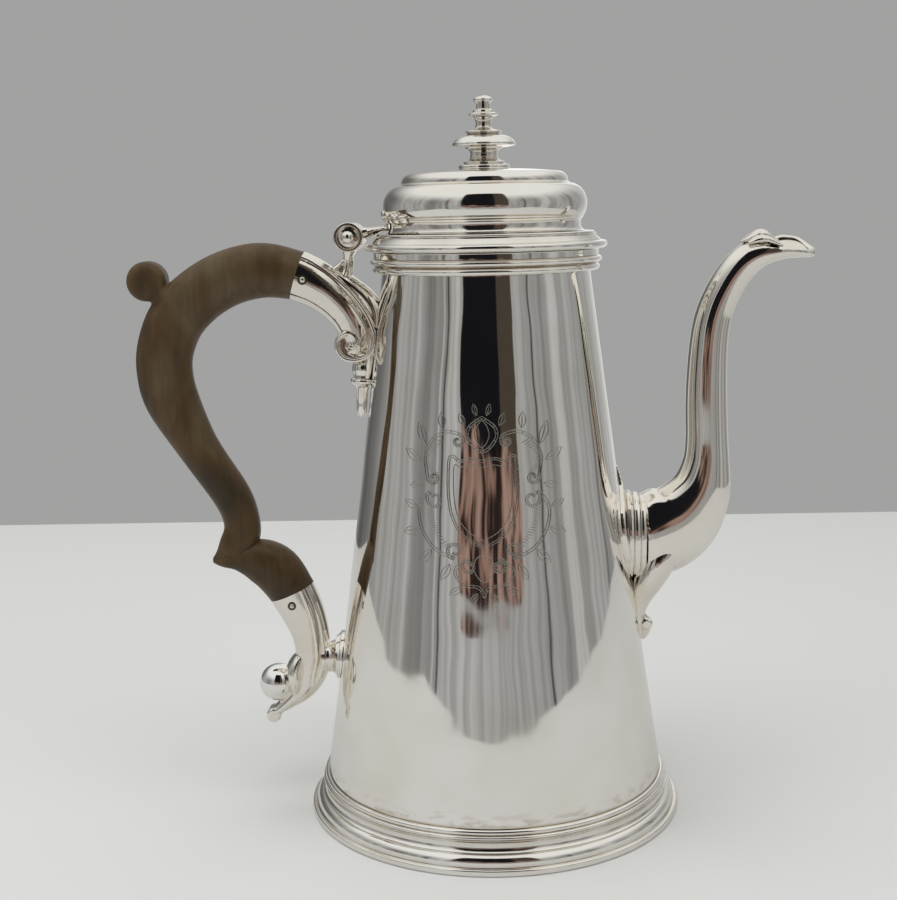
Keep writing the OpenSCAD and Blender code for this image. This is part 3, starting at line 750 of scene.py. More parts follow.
def oval_step(name, x_from, grow_from, x_to, grow_to):
    """An oval block along X round the spout's root; grow is how far it stands outside the root, in mm."""
    deselect()
    bpy.ops.mesh.primitive_circle_add(
        vertices=96, radius=MM, fill_type="NGON", rotation=(0.0, math.pi / 2, 0.0),
        location=(x_from * MM, 0.0, collar_z * MM))
    piece = bpy.context.object
    piece.name = name
    piece.scale = (root_half_z + grow_from, root_half_y + grow_from, 1.0)
    bpy.ops.object.transform_apply(location=True, rotation=True, scale=True)
    bpy.ops.object.mode_set(mode="EDIT")
    bpy.ops.mesh.select_all(action="SELECT")
    stepped_out(x_from, grow_from, x_to, grow_to)
    bpy.ops.mesh.select_all(action="SELECT")
    bpy.ops.mesh.normals_make_consistent(inside=False)
    bpy.ops.object.mode_set(mode="OBJECT")
    return piece


plate_t = 1.4
deselect()
bpy.ops.mesh.primitive_plane_add(size=MM)
plate = bpy.context.object
plate_half = along([(77.0, 0.4, 0, 0), (80.0, 6.2, 0, 0), (85.0, 10.8, 0, 0), (92.0, 13.0, 0, 0),
                    (99.0, 11.8, 0, 0), (104.0, 7.6, 0, 0), (107.5, 3.4, 0, 0), (111.0, 1.6, 0, 0),
                    (114.4, 0.5, 0, 0)], 4)
edge_points = [(z, y) for z, y, _, _ in plate_half] + [(z, -y) for z, y, _, _ in reversed(plate_half)]
bpy.ops.object.mode_set(mode="EDIT")
bpy.ops.mesh.select_all(action="SELECT")
bpy.ops.mesh.merge(type="CENTER")
corners = [Vector((30.0, y, z)) * MM for z, y in edge_points]
bpy.ops.transform.translate(value=corners[0])
for here, there in zip(corners, corners[1:] + corners[:1]):
    bpy.ops.mesh.extrude_region_move(TRANSFORM_OT_translate={"value": there - here})
bpy.ops.mesh.select_all(action="SELECT")
bpy.ops.mesh.remove_doubles(threshold=0.01 * MM)
bpy.ops.mesh.edge_face_add()
bpy.ops.mesh.extrude_region_move(TRANSFORM_OT_translate={"value": (0.04, 0.0, 0.0)})
bpy.ops.mesh.select_all(action="SELECT")
bpy.ops.mesh.normals_make_consistent(inside=False)
bpy.ops.object.mode_set(mode="OBJECT")
plate_face = [(60, 0.6), (78, 1.0), (84, plate_t), (103, plate_t), (108, 1.5), (112, 1.1), (115, 0.3)]
plate_skin = turned("plate_skin", [(0.0, 60.0)] + [(body_radius(z) + lift, z) for z, lift in plate_face]
                    + [(0.0, 115.0)], 128)
applied(plate, "BOOLEAN", object=plate_skin, operation="INTERSECT", solver="EXACT")
bpy.data.objects.remove(plate_skin)
plate = fused("collar_plate", [plate], 0.3, 3)
collar_beads = [(38.0, 2.6), (43.2, 2.6), (44.0, 2.4), (44.5, 1.9), (44.7, 1.4), (45.2, 1.8), (46.0, 1.9),
                (46.7, 1.5), (46.9, 0.9), (47.4, 1.2), (48.2, 1.3), (48.9, 1.0), (49.1, 0.45), (49.6, 0.7),
                (50.3, 0.75), (50.9, 0.5), (51.2, 0.05)]
beads = oval_step("collar_beads", *collar_beads[0], *collar_beads[1])
for (before_x, before_grow), (x, grow) in zip(collar_beads[1:], collar_beads[2:]):
    only(beads)
    bpy.ops.object.mode_set(mode="EDIT")
    bpy.ops.mesh.select_mode(type="VERT")
    bpy.ops.mesh.select_all(action="DESELECT")
    bpy.ops.object.mode_set(mode="OBJECT")
    for face in beads.data.polygons:
        face.select = face.center.x > (before_x - 0.01) * MM and abs(face.normal.x) > 0.9
    bpy.ops.object.mode_set(mode="EDIT")
    bpy.ops.mesh.select_mode(type="FACE")
    stepped_out(before_x, before_grow, x, grow)
    bpy.ops.mesh.select_mode(type="VERT")
    bpy.ops.object.mode_set(mode="OBJECT")
plate.name = "spout_collar_cast"
collar = plate
applied(collar, "BOOLEAN", object=beads, operation="UNION", solver="EXACT")
bpy.data.objects.remove(beads)
body_core = turned("body_core", [(0.0, 40.0)] + [(body_radius(z) + 0.02, z) for z in range(40, 161, 10)]
                   + [(0.0, 160.0)], 256)
applied(collar, "BOOLEAN", object=body_core, operation="DIFFERENCE", solver="EXACT")
bore = oval_step("bore", 20.0, -spout_wall, 60.0, -spout_wall)
applied(collar, "BOOLEAN", object=bore, operation="DIFFERENCE", solver="EXACT")
bpy.data.objects.remove(bore)
smoothed(collar, 32.0)
finished(collar, cast_silver, "silver", "pot", "spout_collar")


# ---- Spout pendant ----
# A cast silver drop that flows down from the root of the spout and ends in a small outward curl.
# It is soldered to the body and to the spout.
def placed(piece, turn, place=(0.0, 0.0, 0.0)):
    """Turns a piece by angles in degrees, sets it down at a place in mm, and fixes both in its mesh."""
    piece.rotation_euler = [math.radians(angle) for angle in turn]
    piece.location = Vector(place) * MM
    only(piece)
    bpy.ops.object.transform_apply(location=True, rotation=True, scale=True)
    return piece


def laid_across(piece, x, z, across=0.0):
    """Turns a piece made on the Z axis to lie across the pot, its top towards the front; places in mm."""
    return placed(piece, (90.0, 0.0, 0.0), (x, across, z))


def scroll_end(name, x, z, radius, length, roundness=1.2, across=0.0):
    """A short rounded roll across the pot, as a scroll's end, in mm."""
    half = length / 2
    piece = turned(name, [(0.0, -half), (radius - roundness, -half)]
        + bend((radius - roundness, -half + roundness), (roundness, roundness), -85, -5, 5)
        + bend((radius - roundness, half - roundness), (roundness, roundness), 5, 85, 5)
        + [(radius - roundness, half), (0.0, half)], 48)
    return laid_across(piece, x, z, across)


drop = fused("spout_pendant", [
    swept("drop_body", [(62.0, 90.0, 3.2, 5.6), (58.6, 86.4, 5.4, 8.2), (54.8, 81.6, 6.4, 9.2),
                        (52.0, 75.8, 5.7, 8.2), (49.8, 69.8, 4.0, 5.8), (48.7, 64.4, 2.8, 4.0),
                        (49.0, 59.4, 1.9, 2.9), (49.8, 55.2, 0.9, 1.6)], 5, 32),
    swept("drop_tip", [(49.6, 64.0, 1.3, 2.4), (51.4, 61.2, 1.7, 2.9), (51.5, 58.0, 1.7, 2.6),
                       (50.4, 55.2, 0.9, 1.5)], 4, 20),
    scroll_end("drop_curl", 51.9, 60.6, 1.9, 6.2, 0.7)], 0.28, 2)
applied(drop, "BOOLEAN", object=body_core, operation="DIFFERENCE", solver="EXACT")
smoothed(drop, 50.0)
finished(drop, cast_silver, "silver", "pot", "spout_drop")


# ---- Wooden handle ----
# Carved from fruitwood in two pieces that meet at a pointed spur, and tenoned into the sockets.
# The wood is waxed, and worn paler and redder where it is held.
def fruitwood(name, dark, rubbed, pale):
    """Waxed wood: a broad figure, long pores, and edges worn paler."""
    material = bpy.data.materials.new(name)
    material.use_nodes = True
    tree = material.node_tree
    shader = tree.nodes["Principled BSDF"]
    shader.inputs["Specular IOR Level"].default_value = 0.36
    place = node(tree, "ShaderNodeTexCoord").outputs["Object"]

    def grain(scale, detail, stretch):
        return mottle(tree, place, scale, detail, stretch, lean=24, distortion=0.6)

    broad = ramp(tree, grain(60.0, 3.0, (1.0, 1.0, 0.5)), [(0.30, dark), (0.50, rubbed), (0.66, pale)])
    streaks = ramp(tree, grain(420.0, 4.0, (1.0, 1.0, 0.06)), [(0.30, 0.72), (0.62, 1.06)])
    edges = node(tree, "ShaderNodeNewGeometry").outputs["Pointiness"]
    wear = ramp(tree, edges, [(0.49, 0.92), (0.56, 1.25)])
    colour = broad
    for layer in (streaks, wear):
        colour = mixed(tree, "MULTIPLY", 0.85, colour, layer)
    tree.links.new(colour, shader.inputs["Base Color"])
    polish = ramp(tree, grain(90.0, 3.0, (1.0, 1.0, 0.4)), [(0.3, 0.36), (0.7, 0.52)])
    tree.links.new(polish, shader.inputs["Roughness"])
    pores = node(tree, "ShaderNodeBump", Strength=0.5, Distance=0.05 * MM)
    tree.links.new(grain(650.0, 3.0, (1.0, 1.0, 0.05)), pores.inputs["Height"])
    tree.links.new(pores.outputs[0], shader.inputs["Normal"])
    return material


wood = fruitwood("waxed_fruitwood", (0.036, 0.025, 0.0100), (0.092, 0.052, 0.0190), (0.118, 0.086, 0.044))
half_y = 7.4
grip_stations = [
    (-61.0, 178.5, 8.0, half_y - 0.4), (-72.3, 180.4, 8.9, half_y), (-83.4, 178.2, 9.1, half_y + 0.2),
    (-93.0, 173.0, 9.2, half_y + 0.3), (-101.0, 165.3, 9.4, half_y + 0.3),
    (-105.2, 155.8, 9.3, half_y + 0.2), (-105.9, 147.5, 9.2, half_y), (-103.8, 138.0, 8.9, half_y - 0.2),
    (-96.0, 122.5, 6.9, half_y - 0.7), (-86.2, 107.0, 6.4, half_y - 1.1), (-83.1, 99.0, 6.1, half_y - 1.4),
    (-83.0, 92.4, 6.1, half_y - 1.5), (-86.0, 86.5, 5.6, half_y - 1.8)]
grip = fused("grip_carved", [
    swept("grip_bar", [(-55.0, 176.6, 7.8, half_y - 0.4)] + grip_stations, 5, 40),
    scroll_end("thumb_scroll", -109.9, 177.6, 6.5, 11.0, 3.2),
    swept("spur_edge", [(-87.2, 95.0, 1.4, 4.4), (-88.3, 91.0, 2.0, 4.8), (-90.0, 87.4, 1.6, 3.8),
                        (-92.4, 84.9, 0.6, 1.8)], 4, 16),
    swept("spur", [(-83.2, 93.0, 4.0, 5.2), (-84.8, 89.6, 4.9, 5.2), (-87.3, 86.8, 3.7, 4.8),
                   (-90.2, 85.1, 1.9, 3.6), (-93.1, 84.3, 0.7, 1.8)], 4, 20),
    swept("thumb_neck", [(-95.0, 168.0, 8.2, 6.9), (-101.5, 171.0, 6.0, 6.0), (-107.0, 173.6, 3.4, 5.0),
                         (-112.0, 174.4, 2.0, 4.4)], 4, 24)], 0.55, 6)
upper_joint = (-61.0, 0.0, 178.5)
upper_tilt = math.radians(-19)
upper_face = (math.cos(upper_tilt), 0.0, math.sin(upper_tilt))
sawn(grip, upper_joint, upper_face)
smoothed(grip, 50.0)
finished(grip, wood, "handle_wood", "pot", "handle_grip")

scroll_stations = [
    (-93.0, 84.0, 0.7, 1.8), (-89.4, 84.0, 2.2, half_y - 2.8), (-84.4, 84.9, 4.8, half_y - 1.8),
    (-78.2, 84.0, 7.4, half_y - 1.0),
    (-72.0, 80.6, 8.4, half_y - 0.4), (-66.9, 73.2, 7.8, half_y - 0.4), (-64.6, 68.0, 7.6, half_y - 0.5)]
lower_scroll = fused("lower_scroll_carved", [swept("lower_bar", scroll_stations, 5, 40)], 0.5, 3)
lower_joint = (-66.9, 0.0, 73.2)
lower_tilt = math.radians(23)
lower_face = (math.sin(lower_tilt), 0.0, -math.cos(lower_tilt))
sawn(lower_scroll, lower_joint, lower_face)
smoothed(lower_scroll, 50.0)
finished(lower_scroll, wood, "handle_wood", "pot", "handle_lower_scroll")


# ---- Upper socket ----
# A cast silver scroll that holds the grip's tenon. A raised double line follows its outer edge and
# curls in round the volute at the bottom. It stands on a strap that is soldered to the body.
socket_stations = [
    (-65.0, 179.8, 8.0, half_y), (-61.0, 178.5, 8.1, half_y), (-54.4, 175.3, 7.6, 7.2),
    (-48.8, 170.9, 7.0, 6.6), (-44.6, 165.2, 6.2, 6.0), (-42.7, 158.6, 5.0, 5.4), (-43.6, 153.2, 2.9, 4.8)]
volute_x = -44.4
volute_z = 155.4
spine_stations = [
    (-52.5, 180.6, 1.6, 4.2), (-47.0, 177.6, 2.5, 4.6), (-42.6, 174.2, 2.9, 4.8), (-38.8, 170.4, 3.3, 4.8),
    (-36.6, 165.5, 3.4, 4.6), (-36.9, 158.0, 3.0, 4.4), (-38.4, 151.6, 2.0, 3.6)]
parts = [swept("socket_bar", socket_stations, 5, 40),
         scroll_end("socket_volute", volute_x, volute_z, 3.9, 8.6, 0.8),
         swept("socket_spine", spine_stations, 4, 24)]
edge_line = [(-63.0, 185.6), (-57.0, 183.6), (-49.6, 178.6), (-43.2, 172.4), (-38.8, 166.0), (-36.4, 160.0)]
volute_line = [(8.0, 1.0), (6.2, -2.6), (2.4, -4.3), (-1.9, -3.7), (-4.1, -0.6), (-3.6, 2.9), (-1.0, 4.5),
               (1.6, 3.4), (2.1, 1.2), (0.8, -0.2), (-0.4, 0.6)]
rib = edge_line + [(volute_x + across, volute_z + up) for across, up in volute_line]
inner_rib = [(x - 1.6, z - 1.9) for x, z in edge_line[:5]] + [(-38.6, 158.6), (-40.2, 154.8)]
for side in (-1.0, 1.0):
    parts.append(swept("rib", [(x, z, 0.75, 0.9) for x, z in rib], 4, 12, across=side * 4.7))
    parts.append(swept("inner_rib", [(x, z, 0.5, 0.7) for x, z in inner_rib], 4, 10, across=side * 5.4))
upper_socket = fused("upper_socket_cast", parts, 0.28, 2)
sawn(upper_socket, upper_joint, tuple(-c for c in upper_face))
applied(upper_socket, "BOOLEAN", object=body_core, operation="DIFFERENCE", solver="EXACT")
smoothed(upper_socket, 50.0)
finished(upper_socket, cast_silver, "silver", "pot", "upper_socket")


# ---- Strap and drop behind the upper socket ----
# A tapering silver strap, soldered down the body, backs the scroll.
# A small turned drop hangs below it, soldered to both.
strap_stations = [
    (-36.4, 168.0, 1.6, 4.0), (-37.2, 160.0, 1.9, 4.4), (-38.4, 151.0, 1.9, 3.8), (-39.4, 145.0, 1.5, 2.8),
    (-40.2, 140.0, 0.9, 1.6), (-40.6, 137.0, 0.4, 0.8)]
backing = fused("upper_backing_strap", [swept("strap", strap_stations, 4, 24)], 0.3, 2)
applied(backing, "BOOLEAN", object=body_core, operation="DIFFERENCE", solver="EXACT")
smoothed(backing, 50.0)
finished(backing, cast_silver, "silver", "pot", "upper_backing")

drop_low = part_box("upper_drop")[0].z / MM
small_drop = turned("upper_drop_turned",
    [(radius, drop_low + up) for radius, up in (
        [(0.0, 0.0), (0.9, 0.05), (1.4, 0.5), (1.65, 1.5), (1.75, 4.0), (1.95, 9.3), (2.4, 10.0),
         (3.2, 10.7)]
        + bend((3.3, 11.9), (0.7, 0.9), -70, 80, 8)
        + [(2.9, 13.0), (2.85, 13.5), (3.2, 13.8)]
        + bend((1.9, 15.8), (1.7, 2.6), -40, 70, 10) + [(1.6, 19.2), (0.0, 19.2)])], 48)
placed(small_drop, (0.0, 3.5, 0.0), (-49.7, 0.0, 0.25))
applied(small_drop, "BOOLEAN", object=body_core, operation="DIFFERENCE", solver="EXACT")
smoothed(small_drop)
finished(small_drop, moulding_silver, "silver", "pot", "upper_drop")


# ---- Socket pins ----
# A silver pin goes through each socket and the wood.
# It is hammered over into a small round head at both ends, and old polish lies dark round the head.
def cross_pin(name, node_name, head_r):
    """A pin across a socket, with a round head and a ring of dirt at both ends; head_r in mm."""
    low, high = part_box(node_name)
    centre = (low + high) / 2 / MM
    half = (high.y - low.y) / 2 / MM
    shank_r = (high.x - low.x) / 2 / MM * 0.9
    head = [(head_r, half - 0.75)] + bend((0.0, half - 0.7), (head_r, 0.7), 12, 90, 8)
    rings = []
    for side in (-1.0, 1.0):
        outline = [(head_r, side * 0.8), (head_r + 0.5, side * 0.8), (head_r + 0.55, side * 0.45),
                   (head_r, side * 0.4), (head_r, side * 0.8)]
        rings.append(laid_across(turned(name + "_ring", outline, 32), centre.x, centre.z, side * half))
    finished(joined(name + "_dirt", rings), dark_dirt, "pin_silver", "pot")
    piece = turned(name, [(radius, -along_pin) for radius, along_pin in reversed(head)]
                   + [(shank_r, -half + 1.1), (shank_r, half - 1.1)] + head, 32)
    laid_across(piece, centre.x, centre.z)
    finished(piece, pin_polish, "pin_silver", "pot", node_name)


pin_polish = silver("pin_polish", (0.86, 0.83, 0.77), warm_tarnish, 0.9, (0.10, 0.2), 0.02, 0.001)
dark_dirt = silver("dark_dirt", (0.15, 0.115, 0.08), (0.06, 0.045, 0.03), 0.9, (0.35, 0.55), 0.02, 0.002)
cross_pin("upper_pin_head", "upper_pin", 1.05)
cross_pin("lower_pin_head", "lower_pin", 0.85)


# ---- Lower socket ----
# A cast silver scroll that holds the lower tenon, reeded along the side next to the body. It turns
# under the ball to a small curl, and a leaf folds over the ball. A turned spool holds it off the body.
socket_path = [(-68.2, 76.2, 7.8, half_y), (-66.9, 73.2, 7.9, half_y - 0.1), (-63.6, 66.0, 7.2, 7.0),
               (-61.3, 58.5, 6.3, 6.4), (-60.6, 51.5, 5.9, 6.0), (-61.4, 45.0, 5.4, 5.5),
               (-64.4, 39.4, 4.3, 4.9), (-69.2, 34.8, 2.7, 4.1), (-73.2, 31.8, 1.8, 3.4),
               (-75.4, 30.4, 1.2, 2.8)]
parts = [swept("socket_bar", socket_path, 5, 40),
         scroll_end("socket_curl", -74.6, 30.2, 2.5, 6.4, 0.8),
         swept("ball_leaf", [(-63.2, 52.0, 1.0, 3.6), (-65.4, 49.4, 2.5, 5.8), (-66.9, 45.4, 3.4, 6.9),
                             (-66.7, 41.4, 2.9, 6.6), (-66.8, 38.0, 1.3, 4.6)], 4, 28)]
for inset, across in ((1.5, 4.4), (3.6, 6.0)):
    for side in (-1.0, 1.0):
        reed = [(x + half - inset - 0.02 * (76.0 - z), z, 0.62, 0.7) for x, z, half, _ in socket_path[:6]]
        reed.append((-60.6, 41.0, 0.5, 0.6))
        parts.append(swept("reed", reed, 4, 12, across=side * across))
lower_socket = fused("lower_socket_cast", parts, 0.3, 2)
sawn(lower_socket, lower_joint, tuple(-c for c in lower_face))
smoothed(lower_socket, 50.0)
finished(lower_socket, cast_silver, "silver", "pot", "lower_socket")

ball_low, ball_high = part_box("lower_ball")
ball_r = (ball_high.z - ball_low.z) / 2 / MM
ball = turned("lower_ball_turned", bend((0.0, 0.0), (ball_r, ball_r), -90, 90, 48), 64)
laid_across(ball, (ball_low.x + ball_high.x) / 2 / MM, (ball_low.z + ball_high.z) / 2 / MM)
finished(ball, sheet_silver, "silver", "pot", "lower_ball")

boss_low, boss_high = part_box("lower_boss")
boss_x = boss_low.x / MM
boss_z = (boss_low.z + boss_high.z) / 2 / MM
boss = turned("lower_boss_spool",
    [(0.0, 0.0), (5.9, 0.0), (5.5, 0.5)]
    + bend((7.6, 2.6), (2.5, 2.6), 215, 125, 12)
    + [(6.5, 4.9), (7.3, 5.3), (7.35, 5.8), (7.9, 5.95), (8.0, 6.5), (8.6, 6.7), (8.85, 7.1), (8.85, 14.0),
       (0.0, 14.0)], 96)
placed(boss, (0.0, 90.0, 0.0), (boss_x, 0.0, boss_z))
applied(boss, "BOOLEAN", object=body_core, operation="DIFFERENCE", solver="EXACT")
smoothed(boss)
finished(boss, moulding_silver, "silver", "pot", "lower_boss")


# ---- Hinge ----
# Five knuckles on one pin: three stand on a post cast on the handle's socket, and two carry the lid's arm.
# The pin has a ball head at the front and a round cap at the back.
hinge = Vector(frame["record"]["behaviour"]["joints"][0]["pos_m"]) / MM
barrel_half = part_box("hinge_post")[1].y / MM
knuckle_gap = 0.3
knuckle_l = (2 * barrel_half - 4 * knuckle_gap) / 5
knuckle_step = knuckle_l + knuckle_gap
knuckle_r = 4.7
pin_r = 1.3


def knuckle(across, dished=0.0):
    """A ring on the hinge's axis, bored for the pin; a dished one has a hollow face with a raised edge."""
    half = knuckle_l / 2
    outline = [(pin_r, half - dished), (3.6, half - dished), (3.9, half - 0.15 - dished * 0.3),
               (4.0, half - 0.02)]
    outline += bend((knuckle_r - 0.35, half - 0.35), (0.35, 0.35), 85, 5, 4)
    outline += bend((knuckle_r - 0.25, -half + 0.25), (0.25, 0.25), -5, -85, 4)
    outline += [(pin_r, -half), (pin_r, half - dished)]
    if across > 0:
        outline = [(radius, -place) for radius, place in outline]
    return laid_across(turned("knuckle", outline, 72), hinge.x, hinge.z, across)


column_stations = [
    (hinge.x - 0.3, 187.2, 2.8, 4.4), (-44.2, 184.8, 1.7, 3.4), (-44.6, 182.4, 1.35, 2.9),
    (-45.0, 180.0, 1.5, 3.1), (-45.8, 177.6, 2.6, 4.2), (-47.0, 175.4, 3.2, 4.8)]
flute_stations = [(-43.0, 184.6, 0.5, 1.1), (-43.2, 181.6, 0.45, 1.0), (-43.4, 178.6, 0.5, 1.1)]
post_leaf_stations = [
    (-45.6, 183.6, 0.4, 1.4), (-46.9, 181.8, 0.9, 2.6), (-48.4, 180.4, 1.2, 3.4), (-49.8, 180.2, 0.9, 2.6),
    (-50.6, 180.9, 0.35, 1.0)]
post_stem = fused("post_stem", [swept("post_column", column_stations, 4, 28),
                                swept("post_flute", flute_stations, 4, 12),
                                swept("post_leaf", post_leaf_stations, 4, 20)], 0.25, 2)
smoothed(post_stem, 50.0)
fixed_knuckles = [knuckle(place * knuckle_step, 0.5 if place else 0.0) for place in (-2, 0, 2)]
post = joined("hinge_post_cast", [post_stem] + fixed_knuckles)
smoothed(post, 40.0)
finished(post, cast_silver, "silver", "pot", "hinge_post")

for name, node_name, shank, side in (("hinge_pin_turned", "hinge_pin", barrel_half, 1.0),
                                     ("hinge_cap_turned", "hinge_pin_cap", -barrel_half + 0.6, -1.0)):
    outline = [(0.0, -shank), (pin_r - 0.05, -shank), (pin_r - 0.05, barrel_half - 0.5),
               (2.75, barrel_half - 0.45), (2.8, barrel_half - 0.1), (1.75, barrel_half + 0.1),
               (1.7, barrel_half + 0.35)]
    outline += bend((0.0, barrel_half + 1.3), (2.1, 2.05), -32, 90, 16)
    pin = turned(name, [(radius, side * place) for radius, place in outline], 48)
    laid_across(pin, hinge.x, hinge.z)
    finished(pin, cast_silver, "silver", "pot", node_name)

arm_half_y = barrel_half - knuckle_step + knuckle_gap - 0.4
arm = swept("leaf_arm", [(hinge.x + 3.0, 191.2, 2.5, arm_half_y), (-38.4, 191.7, 2.0, arm_half_y),
                         (-35.6, 192.5, 1.4, arm_half_y - 0.2), (-33.0, 193.0, 1.1, arm_half_y + 0.2),
                         (-30.8, 193.3, 1.2, arm_half_y + 0.4)], 5, 40)
barrel_room_r = knuckle_r + 0.25
barrel_room_half = 9.0
barrel_room = turned("barrel_room", [(0.0, -barrel_room_half), (barrel_room_r, -barrel_room_half),
                                     (barrel_room_r, barrel_room_half), (0.0, barrel_room_half)], 72)
laid_across(barrel_room, hinge.x, hinge.z)
applied(arm, "BOOLEAN", object=barrel_room, operation="DIFFERENCE", solver="EXACT")
bpy.data.objects.remove(barrel_room)
link_half_y = knuckle_l / 2
link_stations = [(hinge.x + 2.6, 191.3, 2.1, link_half_y), (-39.6, 191.7, 1.8, link_half_y),
                 (-37.6, 192.2, 1.4, link_half_y)]
links = [swept("leaf_link", link_stations, 3, 24, across=side * knuckle_step) for side in (-1.0, 1.0)]
lobes = []
lobe_turn = 9.2
for lobe in range(-4, 5):
    top = 198.7 - 0.12 * lobe * lobe
    lobe_stations = [(-30.9, 194.5, 0.4, 1.9), (-31.5, 195.4, 0.8, 2.5), (-32.3, 196.4, 0.85, 2.6),
                     (-32.7, top - 0.8, 0.75, 2.1), (-32.75, top, 0.4, 1.0)]
    blade = swept("leaf_lobe", lobe_stations, 4, 16)
    lobes.append(placed(blade, (0.0, 0.0, lobe_turn * lobe)))
fluted_leaf = fused("fluted_leaf", lobes + [arm], 0.25, 1)
lid_knuckles = [knuckle(side * knuckle_step) for side in (-1.0, 1.0)]
leaf = joined("lid_leaf_cast", [fluted_leaf] + links + lid_knuckles)
smoothed(leaf, 40.0)
finished(leaf, cast_silver, "silver", "lid", "lid_leaf")


# ---- Engraving ----
# Shallow lines cut into the front of the body with a graver, dark partly with old polish and partly with
# painted shade of the cut grooves.
# They show a blank shield in a frame of scrolls, hatching and leaves.
def curl(across, up, radius, start, sweep):
    """Points of a spiral that closes on its centre, from start through sweep degrees, in mm."""
    steps = max(int(abs(sweep) / 30), 2)
    points = []
    for step in range(steps + 1):
        share = step / steps
        angle = math.radians(start + sweep * share)
        reach = radius * (1.0 - 0.72 * share)
        points.append((across + reach * math.cos(angle), up + reach * math.sin(angle)))
    return points


def leaf_strokes(across, up, lean, length, width):
    """The two edges and the rib of a small pointed leaf that grows from a place, in degrees and mm."""
    along_x = math.cos(math.radians(lean))
    along_z = math.sin(math.radians(lean))
    made = []
    for bow in (-width, 0.0, width):
        stroke = []
        for step in range(7):
            share = step / 6
            out = length * share * (0.82 if bow == 0.0 else 1.0)
            aside = bow * math.sin(math.pi * share) + 0.12 * length * share * share
            stroke.append((across + out * along_x - aside * along_z, up + out * along_z + aside * along_x))
        made.append(stroke)
    return made


half_frame = [
    [(0.0, 112.0), (4.0, 112.9), (7.6, 112.0), (10.6, 113.6), (11.4, 107.0), (11.2, 99.5), (9.6, 92.5),
     (5.8, 87.4), (0.0, 84.2)],
    [(0.0, 110.4), (4.0, 111.2), (7.4, 110.4), (9.4, 111.2), (9.9, 106.4), (9.7, 99.6), (8.3, 93.6),
     (5.0, 89.1), (0.0, 86.2)],
    list(reversed(curl(8.2, 119.0, 2.8, 100, 400)))
    + [(12.0, 122.4), (17.2, 119.8), (20.4, 113.8), (19.8, 107.2)]
    + curl(17.0, 106.6, 2.8, 0, -420),
    list(reversed(curl(16.6, 99.4, 2.7, 60, -380)))
    + [(20.6, 100.6), (23.2, 95.4), (21.8, 88.4), (17.0, 82.6), (11.2, 80.2)]
    + curl(9.8, 82.8, 2.4, -90, 400),
    list(reversed(curl(5.0, 77.6, 2.2, 90, -380)))
    + [(8.6, 78.6), (10.2, 75.0), (7.0, 71.2), (2.2, 70.4), (0.0, 67.4)],
    [(0.0, 115.0), (2.6, 116.4), (5.2, 120.2), (4.4, 124.0), (0.0, 127.2)],
    [(0.0, 116.6), (1.5, 118.4), (2.4, 121.2), (1.6, 124.0), (0.0, 126.0)],
    [(0.0, 81.8), (2.6, 80.2), (3.4, 76.6), (1.6, 73.4), (0.0, 72.4)],
]
for place in ((19.6, 117.4, 62, 8.0, 1.5), (21.6, 112.0, 22, 7.4, 1.5), (20.8, 104.4, -18, 5.6, 1.2),
              (13.2, 122.8, 78, 5.6, 1.2), (23.4, 96.4, 14, 5.4, 1.3), (22.8, 89.6, -26, 6.6, 1.4),
              (18.0, 82.8, -52, 7.0, 1.5), (11.6, 78.4, -66, 6.4, 1.3), (7.6, 71.0, -40, 5.2, 1.1),
              (5.6, 124.0, 58, 4.6, 1.0), (1.6, 127.4, 66, 4.0, 0.8), (2.2, 68.8, -58, 4.0, 0.9)):
    half_frame += leaf_strokes(*place)
for row in range(17):
    share = row / 16
    half_frame.append([(13.4 + 5.2 * math.sin(math.pi * share * 0.9), 118.0 - 9.6 * share),
                       (15.8 + 5.4 * math.sin(math.pi * share * 0.9), 119.4 - 11.2 * share)])
    half_frame.append([(19.6 - 6.8 * share * share, 96.4 - 13.4 * share),
                       (17.4 - 6.2 * share * share, 96.0 - 11.6 * share)])


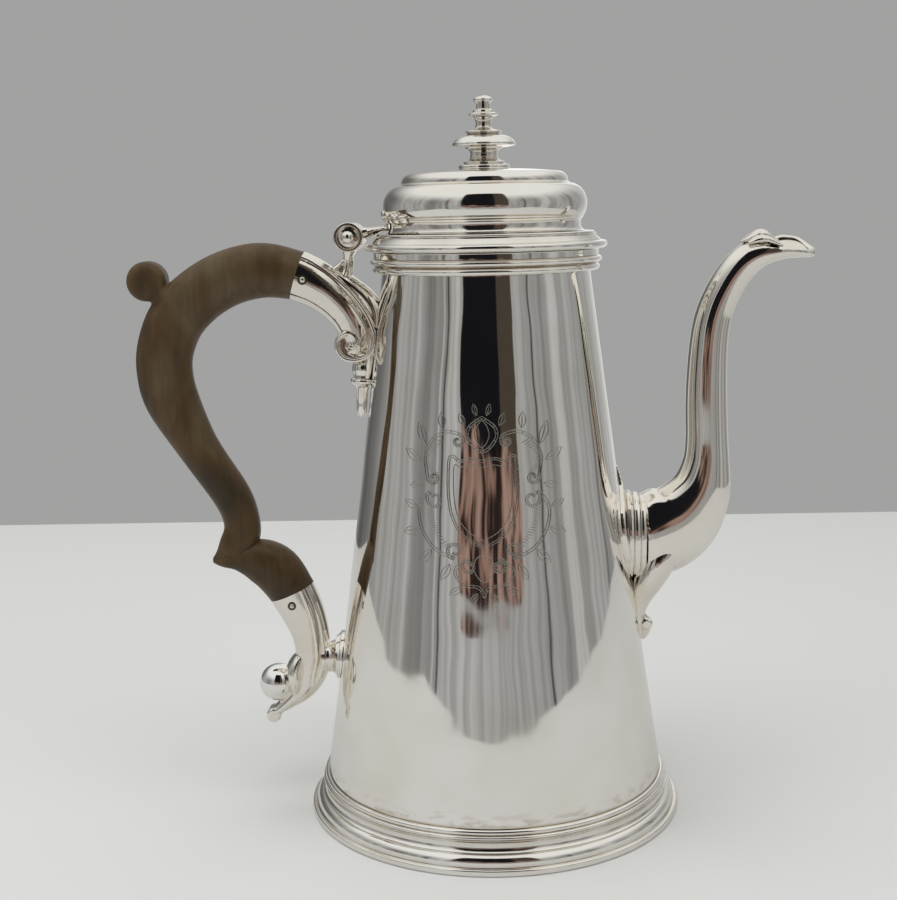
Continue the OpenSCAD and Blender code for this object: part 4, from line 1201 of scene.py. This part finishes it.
def beside(stroke, gap):
    """A stroke that follows another at a gap, and the short rungs cut between the two, in mm."""
    line = []
    for place, (across, up) in enumerate(stroke):
        before = stroke[max(place - 1, 0)]
        after = stroke[min(place + 1, len(stroke) - 1)]
        length = max(math.hypot(after[0] - before[0], after[1] - before[1]), 0.001)
        line.append((across - gap * (after[1] - before[1]) / length,
                     up + gap * (after[0] - before[0]) / length))
    return [line] + [[here, there] for here, there in zip(stroke[1::2], line[1::2])]


for stroke, gap in ((2, -0.9), (3, -0.9), (4, -0.8), (5, 0.8), (0, 0.7)):
    rounded = along([(*place, 0, 0) for place in half_frame[stroke]], 3)
    full_stroke = [(across, up) for across, up, _, _ in rounded]
    half_frame += beside(full_stroke, gap)
frame_scale = 0.91
frame_low = 65.6
frame_place = (-2.0, 81.0)
graver_r = 0.13
graver_lift = 0.45
graver_press = 0.75
lines = bpy.data.curves.new("engraved_frame", "CURVE")
lines.dimensions = "3D"
lines.bevel_depth = graver_r * MM
lines.bevel_resolution = 1
lines.use_fill_caps = True
for side in (-1.0, 1.0):
    for stroke in half_frame:
        smooth_stroke = along([(across, up, 0.0, 0.0) for across, up in stroke], 4)
        spline = lines.splines.new("POLY")
        spline.points.add(len(smooth_stroke) - 1)
        last = len(smooth_stroke) - 1
        for place, (across, up, _, _) in enumerate(smooth_stroke):
            up = frame_place[1] + frame_scale * (up - frame_low)
            turn_to = (frame_place[0] + frame_scale * side * across) / body_radius(up)
            radius = body_radius(up)
            aim = Vector((radius * math.sin(turn_to), -radius * math.cos(turn_to), up)) * MM
            _, on_body, outward, _ = body.closest_point_on_mesh(aim)
            spline.points[place].co = (*(on_body + outward * 0.02 * MM), 1.0)
            press = math.sin(math.pi * (place + 0.5) / (last + 1)) ** 0.6
            spline.points[place].radius = graver_lift + graver_press * press
engraving = bpy.data.objects.new("engraved_frame", lines)
bpy.context.scene.collection.objects.link(engraving)
only(engraving)
bpy.ops.object.convert(target="MESH")
engraving = bpy.context.object
bpy.ops.object.shade_smooth()
# The lines' dark grey colour is partly old polish and partly painted shade, standing in for the shade
# inside a graver's groove.
graver_polish_and_shade = silver("graver_polish_and_shade", (0.40, 0.385, 0.355), (0.16, 0.14, 0.11), 0.5, (0.16, 0.34), 0.02, 0.002)
finished(engraving, graver_polish_and_shade, "silver", "pot")

bpy.data.objects.remove(body_core)
